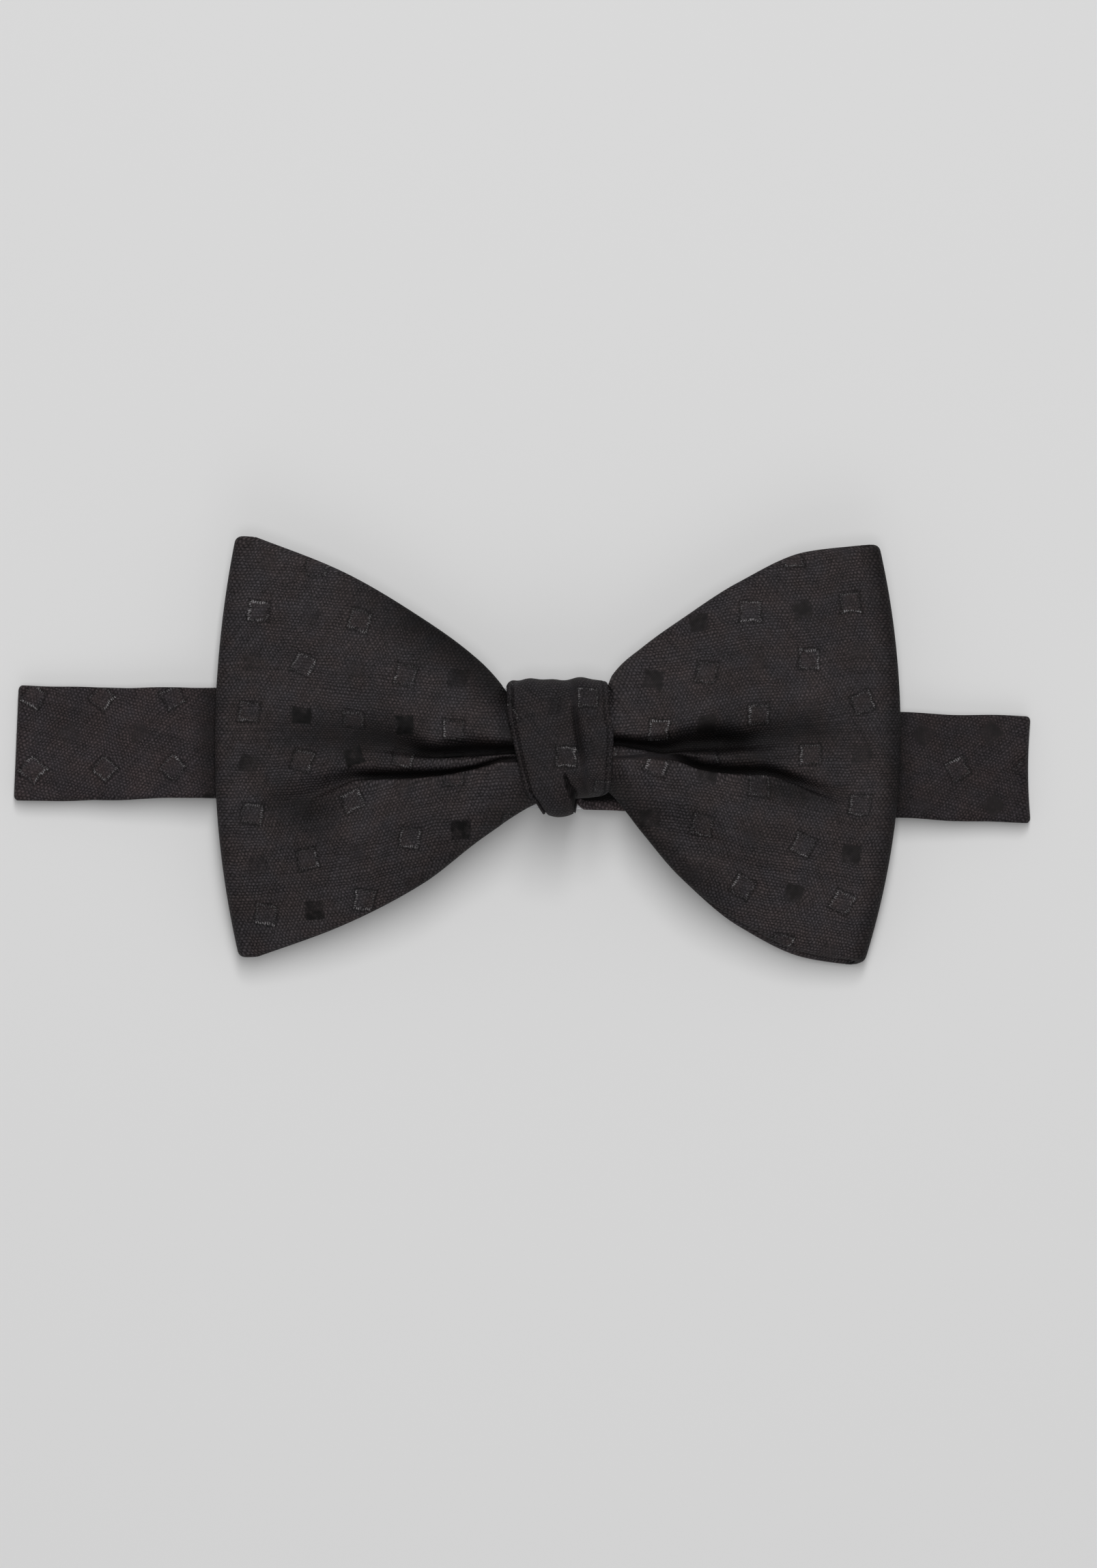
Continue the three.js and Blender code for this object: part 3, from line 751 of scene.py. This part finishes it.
def crease_moves(creases, reach, y):
    """How far a wing's face is sunk at places by its creases, how far the cloth there is tucked up
    or down the bow, and how deep in a crease it lies, 0 to 1."""
    sunk, tucked, deep = 0, 0, 0
    for rows in creases:
        line, depth, lower, upper, tuck = read_table(rows, reach, "y", "depth", "lower", "upper", "tuck")
        away = (y - line) / np.where(y < line, lower, upper)
        inside = (reach >= rows[0]["reach"]) & (reach <= rows[-1]["reach"])
        valley = np.where(inside, np.exp(-np.abs(away) ** np.where(away < 0, 3.0, 2.2)), 0)
        # The lip below the crease leans up over it, and the cloth under the lip goes back down.
        lip = bell(away + 1.35, 0.55) - 0.8 * bell(away + 0.45, 0.5)
        sunk = sunk + depth * valley
        tucked = tucked + np.where(inside, tuck * lip, 0)
        deep = np.maximum(deep, valley * smooth_step(depth, 1.2, 4.0))
    return sunk, tucked, deep


def soft_shade(shades, reach, y):
    """How much painted shade darkens a wing's face at places where it turns softly away from the light."""
    lit = 1
    for rows in shades:
        line, dark, lower, upper = read_table(rows, reach, "y", "dark", "lower", "upper")
        inside = (reach >= rows[0]["reach"]) & (reach <= rows[-1]["reach"])
        lit = lit * (1 - inside * dark * bell(y - line, np.where(y < line, lower, upper)))
    return 1 - lit


def wing_points(wing, along, across, shape, creased):
    """Points in the middle of a wing's cloth. along is 0 to 1 over the face, to 2 round the fold and to
    3 over the back, and across is 0 to 1 from the lower edge to the upper edge."""
    sections = wing["sections"]
    columns = ("top", "bottom", "crown", "edge", "back")
    top, bottom, crown, edge, back = (smooth_column(sections, column) for column in columns)
    first, last = sections[0]["reach"], sections[-1]["reach"]
    cloth = shape.wing_cloth / MM
    radius = (sections[-1]["crown"] - sections[-1]["back"]) / 2
    out = np.where(along > 2, 3 - along, np.minimum(along, 1))
    turn = np.clip(along - 1, 0, 1)

    def reach_at(share):
        height = sections[-1]["top"] - sections[-1]["bottom"]
        from_edge = np.minimum(share, 1 - share) * height
        corner = CORNER_RADIUS * (1 - rim_share(from_edge, CORNER_RADIUS / RIM_RADIUS))
        bow = wing["fold"]["bow"] * 4 * share * (1 - share)
        furthest = lerp(wing["fold"]["bottom"], wing["fold"]["top"], share) + bow - corner
        return lerp(first, furthest - radius - cloth / 2, out)

    section = lerp(first, last, out)
    reach = reach_at(across)
    low, high = bottom(reach_at(np.zeros_like(across))), top(reach_at(np.ones_like(across)))
    peek = wing["peek"] * smooth_step(section, *PEEK_REACH)
    y = lerp(low - peek * smooth_step(turn, 0, 1), high, across)
    past = np.clip((np.abs(y) - LOBES["level_to"]) / LOBES["span"], 0, 1) ** LOBES["curve"] * out
    lobe = np.where(y > 0, LOBES["lift"], -LOBES["drop"]) * past
    dome = 1 - np.abs(2 * across - 1) ** 3
    face = lerp(edge(section), crown(section), dome)
    behind = back(section)
    if creased:
        free = smooth_step(section, 8, 16)
        sunk, tucked, deep = crease_moves(wing["creases"], reach, y)
        face = face - shape.crease * sunk
        face = face + shape.ripple / MM * free * (1 - turn) * ripples(reach, y)
        behind = behind + shape.ripple / MM * free * ripples(reach + 30, y)
        y = y + np.where(along <= 1, shape.crease * tucked, 0)
    x = reach + radius * np.sin(math.pi * turn)
    z = np.where(turn < 1, lerp(behind, face, (1 + np.cos(math.pi * turn)) / 2), behind) + lobe
    deep = deep * (along <= 1) if creased else 0
    return np.stack([wing["side"] * x, y, z], axis=2), reach, deep


def wing_grid(wing, shape):
    """Where the cloth's points lie along and across, closer together at the creases and the rims."""
    sections = wing["sections"]
    span = sections[-1]["reach"] - sections[0]["reach"]
    at_knot, at_shoulder = ((sections[i]["reach"] - sections[0]["reach"]) / span for i in (2, 3))
    along = np.concatenate([
        np.linspace(0, at_knot, 6), lerp(at_shoulder, 1, np.linspace(0, 1, 112) ** 1.1),
        np.linspace(1, 2, 18)[1:], np.linspace(2, 3 - at_shoulder, 50)[1:], np.linspace(3 - at_knot, 3, 5),
    ])
    out = np.where(along > 2, 3 - along, np.minimum(along, 1))
    reach = lerp(sections[0]["reach"], sections[-1]["reach"], out)
    top, bottom = read_table(sections, reach, "top", "bottom")
    height = top - bottom
    # The creases lie in a strip that widens away from the knot.
    middle = (lerp(-0.8, -4.0, reach / 45) - bottom) / height
    half = lerp(3.2, 6.5, np.clip(reach / 45, 0, 1)) / height
    rim = RIM * shape.wing_cloth / MM
    inner = np.linspace(0, 1, 158)[1:-1]
    across = []
    for i in range(len(along)):
        edge = rim / height[i]
        stops = [edge[-1], middle[i] - half[i], middle[i] + half[i], 1 - edge[-1]]
        across.append([*edge, *np.interp(inner, [0, 0.26, 0.74, 1], stops), *(1 - edge[::-1])])
    across = np.array(across)
    return widened(along, across.shape[1]), across


def carried_pattern(wing, reach, y, turn):
    """The height in the pattern at places on a wing. On the back, the rows draw together gently."""
    above, between, below = read_table(wing["carried"], reach, "above", "between", "below")
    height = y + below
    for creased, low, high in ((wing["creases"][1], below, between), (wing["creases"][0], between, above)):
        line, lower, upper = read_table(creased, reach, "y", "lower", "upper")
        start, end = line - lerp(lower, 8, turn), line + lerp(upper, 8, turn)
        height = height + (high - low) * smooth_step(y, start, end)
    return height - wing["square"]["y"]


def wing_piece(name, wing, shape, square_pitch):
    """One wing as a loop of cloth."""
    along, across = wing_grid(wing, shape)
    points, reach, deep = wing_points(wing, along, across, shape, creased=True)
    smooth, _, _ = wing_points(wing, along, across, shape, creased=False)
    turn = math.pi * np.clip(along - 1, 0, 1)
    out_side = np.stack([wing["side"] * np.sin(turn), np.zeros_like(turn), np.cos(turn)], axis=2)
    normals = surface_normals(smooth, out_side)
    across_length = np.linalg.norm(np.diff(smooth, axis=0, prepend=smooth[:1]), axis=2).cumsum(axis=0)
    edge_distance = np.minimum(across, 1 - across) * np.abs(smooth[:, -1, 1] - smooth[:, 0, 1])[:, None]
    thickness = shape.wing_cloth / MM
    half = thickness / 2 * rim_share(edge_distance, thickness)
    # The pattern follows the cloth round the fold.
    v = carried_pattern(wing, reach, smooth[..., 1], np.clip(along - 1, 0, 1))
    length = across_length[:, across.shape[1] // 2]
    at_square = np.interp(wing["square"]["reach"], reach[:110, reach.shape[1] // 2], length[:110])
    u = (length - at_square) * PATTERN_STRETCH + wing["square"]["column"] * square_pitch / MM
    uv = np.stack([widened(u, across.shape[1]), v], axis=2)
    # Painted shade darkens the cloth where it turns away from the light along the upper and lower edges
    # near the knot, towards the fold, and in and beside the creases.
    below_top = points[:, -1:, 1] - points[..., 1]
    above_bottom = points[..., 1] - points[:, :1, 1]
    to_fold = np.abs(points[..., 0]).max(axis=0) - np.abs(points[..., 0])
    dim = wing["dim"]["top"] * (1 - smooth_step(reach, 20, 44)) * (1 - smooth_step(below_top, 0, 9.5))
    low = wing["dim"]["bottom"] * (1 - smooth_step(reach, 18, 34)) * (1 - smooth_step(above_bottom, 0, 7.0))
    at_fold = wing["dim"]["fold"] * (1 - smooth_step(to_fold, 0, 3.6))
    soft = soft_shade(wing["shades"], reach, smooth[..., 1])
    lit = (1 - 0.75 * deep) * (1 - dim) * (1 - low) * (1 - at_fold) * (1 - soft)
    shade = np.clip(1 - lit, -0.3, 0.88) * (along <= 1.5)
    # Painted light makes the back's peeking edge lighter, as though it were still in the light.
    painted_peek_light = wing["peek"] * (along >= 1.8) * smooth_step(reach, *PEEK_REACH)
    painted_peek_light = painted_peek_light * (1 - smooth_step(above_bottom, 0.6, 1.4))
    return cloth_piece(name, points, normals, half, uv, shade - 0.4 * painted_peek_light, wing["sheen"])


def rounded_route(stops, spacing):
    """Evenly spaced points round a closed route of straight lines and arcs, and their distances along
    it. A stop is a point with the radius that the route turns to there."""
    points = []
    count = len(stops)
    for i in range(count):
        corner, radius = Vector(stops[i][0]), stops[i][1]
        before, after = Vector(stops[i - 1][0]), Vector(stops[(i + 1) % count][0])
        back, ahead = (before - corner).normalized(), (after - corner).normalized()
        half_angle = back.angle(ahead) / 2
        centre = corner + (back + ahead).normalized() * radius / math.sin(half_angle)
        start = corner + back * radius / math.tan(half_angle) - centre
        end = corner + ahead * radius / math.tan(half_angle) - centre
        for share in np.linspace(0, 1, 24):
            arm = (start * (1 - share) + end * share).normalized() * radius
            points.append(centre + arm)
    route, even = evenly(np.array([*points, points[0]]), spacing)
    return route[:-1], even[:-1]


def knot_piece(name, shape, square_pitch):
    """The knot: a strip wrapped round the waist of the bow, with hems, a pleat and a tuck."""
    corners = (("top", "front"), ("bottom", "front"), ("bottom", "back"), ("top", "back"))
    stops = [((KNOT[height], KNOT[depth]), KNOT[depth + "_radius"]) for height, depth in corners]
    route, length = rounded_route(stops, 0.32)
    route_y, route_z = route[:, 0], route[:, 1]
    middle_y, middle_z = (KNOT["top"] + KNOT["bottom"]) / 2, (KNOT["front"] + KNOT["back"]) / 2
    angle = np.degrees(np.arctan2(route_z - middle_z, route_y - middle_y)) % 360
    left, right = (side[:, None] for side in read_table(KNOT_EDGES, angle, "left", "right"))
    thickness = shape.knot_cloth / MM
    width = right - left
    from_left = over_width(width, thickness, 102)
    from_right = width - from_left
    x = left + from_left
    y, z = (widened(places, x.shape[1]) for places in (route_y, route_z))
    tangent = unit_tangents(route)
    outward = np.stack([-tangent[:, 1], tangent[:, 0]], axis=1)
    outward *= np.sign((outward * (route - [middle_y, middle_z])).sum(axis=1))[:, None]
    face = smooth_step(z, KNOT["back"] + 4, KNOT["back"] + 9)
    # How far the strip stands out at the hems, the pleat and the soft folds at its top.
    groove = bell(from_left - 1.0, 0.17)
    right_groove = bell(from_right - 0.95, 0.16)
    hem = 0.3 * bell(from_left - 0.5, 0.36) - 0.6 * groove - 0.35 * right_groove
    pleat_x, pleat_depth = read_table(PLEAT_LINE, -y, "x", "depth")
    away = x - pleat_x
    pleat = np.exp(-np.abs(away / np.where(away < 0, 0.42, 0.62)) ** 1.7)
    ridge = 0.35 * pleat_depth * bell(away - 1.7, 0.6)
    on_face = (z > middle_z) * 1.0
    fold_line = -0.1 - 0.16 * (11 - y)
    fold = 0.55 * bell(x - fold_line, 0.9) * smooth_step(y, 4.0, 6.5) * (1 - smooth_step(y, 7.5, 10.5))
    waves = 0.28 * np.sin(x * 0.62 + 1.7) + 0.12 * np.sin(x * 1.4)
    sag = (0.1 + waves) * smooth_step(y, 8, 11)
    sag = sag * smooth_step(from_left, 0.5, 3) * smooth_step(from_right, 0.5, 3)
    rounding = 0.022 * np.abs(x - 0.6) ** 2 * face
    stand = (hem - fold + 0.35) * face + (ridge - pleat_depth * pleat) * on_face - sag - rounding * 0.5
    # The lower end to the right of the tuck is drawn up and back.
    tuck_x = smooth_column(TUCK_LINE, "x")(-y)
    right_side = smooth_step(x, tuck_x - TUCK["width"] / 2, tuck_x + TUCK["width"] / 2)
    low = np.clip((y - TUCK["start_y"]) / (KNOT["bottom"] - TUCK["start_y"]), 0, 1)
    in_face = smooth_step(z, TUCK["fade_to"], TUCK["fade_from"])
    drawn = right_side * low * in_face
    slit_width = lerp(0.2, 0.28, smooth_step(-y, 6.5, 9.5))
    slit = bell(x - tuck_x - slit_width / 3, slit_width) * smooth_step(-y, 4.6, 6.2) * on_face
    pinch = 0.09 * (x + 0.2) ** 2 * smooth_step(-y, 8, 11.6) * (1 - right_side)
    points = np.stack([
        x,
        y + outward[:, :1] * stand + TUCK["rise"] * drawn + np.clip(pinch, 0, 1.2),
        z + outward[:, 1:] * (stand - 1.1 * slit) - TUCK["sink"] * drawn * on_face,
    ], axis=2)
    # Painted shade darkens the hems' grooves, the pleat, the slit of the tuck and the soft fold near the top.
    dark = 0.5 * groove * face + 0.35 * right_groove * face + 0.5 * pleat * pleat_depth * on_face
    dark = np.clip(dark + 0.75 * slit + 0.3 * fold * face, 0, 0.85)
    plain = np.stack([x, y, z], axis=2)
    spread = widened(np.concatenate([np.zeros((len(route), 1)), outward], axis=1), x.shape[1])
    half = thickness / 2 * rim_share(np.minimum(from_left, from_right), thickness)
    # The strip is cut along its slanted left edge, and one hollow square shows below its middle.
    tilt = math.radians(KNOT_SQUARE["tilt"])
    face_middle = np.argmin(np.abs(route_y + 2.0) + 100 * (route_z < middle_z))
    down = length - length[face_middle]
    in_pleat = KNOT_SQUARE["swallow"] * smooth_step(away, -0.6, 0.9)
    local_x, local_y = x - 1.0 + in_pleat, -widened(down, x.shape[1])
    uv = np.stack([local_x * math.cos(tilt) + local_y * math.sin(tilt),
                   local_y * math.cos(tilt) - local_x * math.sin(tilt)], axis=2)
    uv[..., 0] += KNOT_SQUARE["column"] * square_pitch / MM
    return cloth_piece(name, points, surface_normals(plain, spread), half, uv, dark, KNOT_SHEEN, looped=True)


def band_route(shape):
    """The middle of the band's strip in X and Z, from the clasp out to the left end, over the front
    and back round the right end to the clasp."""
    level = shape.band_cloth / MM / 2
    clasp_level = BAND["clasp_wall"] + BAND["clearance"] + level
    radius = (BAND["end_level"] - level) / 2
    left, right = BAND["left_end"] + radius + level, BAND["right_end"] - radius - level
    out = BAND["clasp_length"] / 2 + BAND["straight"]
    turn = np.linspace(0, math.pi, 25)
    ease = np.linspace(0, 1, 40)
    rise = lerp(BAND["end_level"], BAND["front_level"], smooth_step(ease, 0, 1))
    half = [
        [[x, clasp_level] for x in (BAND["clasp_length"] / 2 - BAND["in_clasp"], out)],
        [[out + BAND["ramp"] * t, lerp(clasp_level, level, smooth_step(t, 0, 1))] for t in ease[1:]],
    ]
    ends = []
    for side, end in ((-1, left), (1, right)):
        run = [[side * x, z] for x, z in (point for part in half for point in part)]
        bight = [[end + side * radius * math.sin(t), level + radius * (1 - math.cos(t))] for t in turn]
        front = [[end - side * BAND["rise"] * t, z] for t, z in zip(ease[1:], rise[1:])]
        ends.append(run + bight + front)
    return np.array(ends[0] + ends[1][::-1])


def band_piece(name, shape, square_pitch):
    """The neck band: one strip, folded flat on itself at both ends."""
    route, even = evenly(band_route(shape), 0.5)
    front, rear, width = read_table(BAND_SECTIONS, route[:, 0], "front", "rear", "width")
    thickness = shape.band_cloth / MM
    mid_level = (thickness / 2 + BAND["end_level"]) / 2
    is_front = smooth_step(route[:, 1], mid_level - 1, mid_level + 1)
    centre = lerp(rear, front, is_front)
    # Inside the clasp the band is a little narrower, and clear of its walls.
    in_clasp = (1 - smooth_step(np.abs(route[:, 0]), 11, 18)) * (1 - is_front)
    width = (width - in_clasp)[:, None]
    low = over_width(width, thickness, 36)
    along = widened(even, low.shape[1])
    edge_wave = 0.1 * np.sin(along * 0.21) + 0.07 * np.sin(along * 0.47 + 1.3)
    across = low / width
    y = centre[:, None] - width / 2 + low + edge_wave * (2 * across - 1) ** 2
    x, z = (widened(places, low.shape[1]) for places in route.T)
    on_front = smooth_step(z, BAND["end_level"] - 1, BAND["end_level"])
    # The folded ends aren't quite straight.
    at_left = smooth_step(-x, 90, 96.2)
    at_right = smooth_step(x, 78, 83.2)
    x = x - at_left * 0.9 * (0.5 - across) + at_right * 0.5 * ((2 * across - 1) ** 2 - 0.6)
    z = z + 0.12 * on_front * np.sin(along * 0.16 + across * 2.0) * np.sin(math.pi * across)
    # Below the knot's raised right end, the band sinks a little into a gap that holds a painted shadow, while
    # its lower edge there is painted light.
    below_knot = smooth_step(x, 0.5, 2.5) * (1 - smooth_step(x, 11, 14)) * on_front
    gap = below_knot * smooth_step(y, -10.2, -9.7) * (1 - smooth_step(y, -5, -3))
    lit = below_knot * (1 - smooth_step(y, -10.2, -9.7))
    z = z - 0.3 * gap
    # The knot's narrow lower end gathers the band's lower edge up a little.
    gathered = (1 - smooth_step(np.abs(x + 1.0), 3.4, 5.4)) * on_front
    y = y + 1.3 * gathered * (1 - across) ** 3
    plain = np.stack([x, y, z], axis=2)
    tangent = unit_tangents(route)
    outward = np.stack([tangent[:, 1], np.zeros(len(route)), -tangent[:, 0]], axis=1)
    half = thickness / 2 * rim_share(np.minimum(low, width - low), thickness)
    # The band is cut on the bias, so its pattern is turned by an eighth.
    on_top = route[:, 1] > mid_level
    start = np.interp(BAND_SQUARE["x"], np.where(on_top, route[:, 0], 1e3)[on_top], even[on_top])
    s, w = along - start, y - BAND_SQUARE["y"]
    uv = np.stack([s + w, w - s], axis=2) * math.sqrt(0.5)
    uv[..., 0] += BAND_SQUARE["column"] * square_pitch / MM
    # The right end is painted a little darker, and painted shadows of the wings' folds lie on the band beside
    # them.
    left_fold_shadow = 0.55 * smooth_step(x, -66, -61) * (1 - smooth_step(x, -58, -50))
    right_fold_shadow = 0.4 * smooth_step(x, 50, 57) * (1 - smooth_step(x, 59.5, 63.5))
    right_end = 0.2 * smooth_step(x, 30, 50)
    shade = 0.9 * gap - 0.8 * lit + on_front * (left_fold_shadow + right_fold_shadow) + right_end
    normals = surface_normals(plain, widened(outward, low.shape[1]))
    return cloth_piece(name, plain, normals, half, uv, shade, BAND_SHEEN)


class BOWTIE_OT_add_wings(bpy.types.Operator):
    """Add the two wings, each a loop of doubled cloth gathered into the knot"""

    bl_idname = "bowtie.add_wings"
    bl_label = "Add Wings"

    def execute(self, context):
        shape, cloth = context.scene.bowtie_shape, context.scene.bowtie_cloth
        material = cloth_material("wing_cloth", cloth.wing_colour, cloth)
        for side, wing in (("left", LEFT_WING), ("right", RIGHT_WING)):
            piece = wing_piece(f"{side}_wing_cloth", wing, shape, cloth.square_pitch)
            finish_piece(piece, material, f"{side}_wing")
        return {"FINISHED"}


class BOWTIE_OT_add_knot(bpy.types.Operator):
    """Add the knot, a strip of cloth wrapped round the waist of the bow"""

    bl_idname = "bowtie.add_knot"
    bl_label = "Add Knot"

    def execute(self, context):
        shape, cloth = context.scene.bowtie_shape, context.scene.bowtie_cloth
        piece = knot_piece("knot_cloth", shape, cloth.square_pitch)
        material = cloth_material("knot_cloth", cloth.knot_colour, cloth)
        finish_piece(piece, material, "knot")
        return {"FINISHED"}


class BOWTIE_OT_add_neck_band(bpy.types.Operator):
    """Add the neck band, one strip folded flat on itself"""

    bl_idname = "bowtie.add_neck_band"
    bl_label = "Add Neck Band"

    def execute(self, context):
        shape, cloth = context.scene.bowtie_shape, context.scene.bowtie_cloth
        piece = band_piece("neck_band_cloth", shape, cloth.square_pitch)
        material = cloth_material("band_cloth", cloth.band_colour, cloth)
        finish_piece(piece, material, "neck_band")
        return {"FINISHED"}


class BOWTIE_OT_add_clasp(bpy.types.Operator):
    """Give the flat metal sleeve that holds the band's two ends a brushed metal"""

    bl_idname = "bowtie.add_clasp"
    bl_label = "Add Clasp"

    def execute(self, context):
        nodes = Nodes("clasp_metal")
        place = nodes.node("ShaderNodeTexCoord").outputs["Object"]
        x, y, z = nodes.parts(place)
        brushed = nodes.noise(nodes.vector(x * 40.0, y * 1600.0, z * 1600.0), 1.0, 3.0)
        nodes.put(nodes.shader.inputs["Base Color"], nodes.tint((0.16, 0.16, 0.165, 1), 0.85 + 0.3 * brushed))
        nodes.put(nodes.shader.inputs["Roughness"], 0.3 + 0.2 * brushed)
        nodes.shader.inputs["Metallic"].default_value = 1.0
        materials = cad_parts["band_clasp"].data.materials
        materials.clear()
        materials.append(nodes.material)
        return {"FINISHED"}


class BOWTIE_OT_add_stage(bpy.types.Operator):
    """Add the floor, the lights and the camera"""

    bl_idname = "bowtie.add_stage"
    bl_label = "Add Stage"

    def execute(self, context):
        scene = context.scene
        stage = scene.bowtie_stage
        bpy.ops.mesh.primitive_plane_add(size=4.0)
        floor = context.object
        floor.name = "floor"
        nodes = Nodes("floor")
        nodes.shader.inputs["Base Color"].default_value = stage.floor_colour
        nodes.shader.inputs["Roughness"].default_value = 0.9
        nodes.shader.inputs["Specular IOR Level"].default_value = 0.1
        floor.data.materials.append(nodes.material)
        lamps = (
            ("main_light", (0.04, 0.42, 1.55), (0.28, 1.5), stage.main_power),
            ("low_light", (0.1, -1.2, 1.4), (1.0, 1.0), stage.low_power),
        )
        for name, place, (width, height), power in lamps:
            bpy.ops.object.light_add(type="AREA", location=place)
            lamp = context.object
            lamp.name = name
            lamp.data.shape = "RECTANGLE"
            lamp.data.size = width
            lamp.data.size_y = height
            lamp.data.energy = power
            # It faces the middle of the table.
            lamp.rotation_euler = (-lamp.location).to_track_quat("-Z", "Y").to_euler()
        world = bpy.data.worlds.new("room")
        scene.world = world
        world.use_nodes = True
        background = world.node_tree.nodes["Background"]
        background.inputs["Color"].default_value = (1, 1, 1, 1)
        background.inputs["Strength"].default_value = stage.world_power
        scene.view_settings.view_transform = "Standard"
        scene.view_settings.look = "None"
        # The photograph looks straight down, and its long side covers this much of the table.
        picture_height = 275.5 * MM
        bow_level = 12 * MM
        place = (4.62 * MM, -5.52 * MM, bow_level + stage.camera_distance)
        bpy.ops.object.camera_add(location=place, rotation=(0, 0, 0))
        camera = context.object
        sensor_width = 36
        camera.data.sensor_width = sensor_width
        camera.data.lens = sensor_width * stage.camera_distance / picture_height
        scene.camera = camera
        return {"FINISHED"}


class BOWTIE_PT_sidebar(bpy.types.Panel):
    """The bow tie's pieces and settings"""

    bl_idname = "BOWTIE_PT_sidebar"
    bl_label = "Pre-tied Bow Tie"
    bl_space_type = "VIEW_3D"
    bl_region_type = "UI"
    bl_category = "Bow Tie"

    def draw(self, context):
        for group in (context.scene.bowtie_shape, context.scene.bowtie_cloth, context.scene.bowtie_stage):
            box = self.layout.box()
            for name in group.__annotations__:
                box.prop(group, name)
        for operator in STEPS:
            self.layout.operator(operator.bl_idname)


STEPS = (
    BOWTIE_OT_add_stage, BOWTIE_OT_add_wings, BOWTIE_OT_add_knot, BOWTIE_OT_add_neck_band,
    BOWTIE_OT_add_clasp,
)
CLASSES = (ShapeSettings, ClothSettings, StageSettings, *STEPS, BOWTIE_PT_sidebar)


def register():
    for cls in CLASSES:
        bpy.utils.register_class(cls)
    bpy.types.Scene.bowtie_shape = PointerProperty(type=ShapeSettings)
    bpy.types.Scene.bowtie_cloth = PointerProperty(type=ClothSettings)
    bpy.types.Scene.bowtie_stage = PointerProperty(type=StageSettings)


def unregister():
    del bpy.types.Scene.bowtie_stage
    del bpy.types.Scene.bowtie_cloth
    del bpy.types.Scene.bowtie_shape
    for cls in reversed(CLASSES):
        bpy.utils.unregister_class(cls)


def corners(box):
    """A box's lowest and highest corners as plain lists."""
    return [[float(part) for part in corner] for corner in box]


def main():
    register()
    bpy.ops.bowtie.add_stage()
    bpy.ops.bowtie.add_wings()
    bpy.ops.bowtie.add_knot()
    bpy.ops.bowtie.add_neck_band()
    bpy.ops.bowtie.add_clasp()


if __name__ == "__main__":
    main()
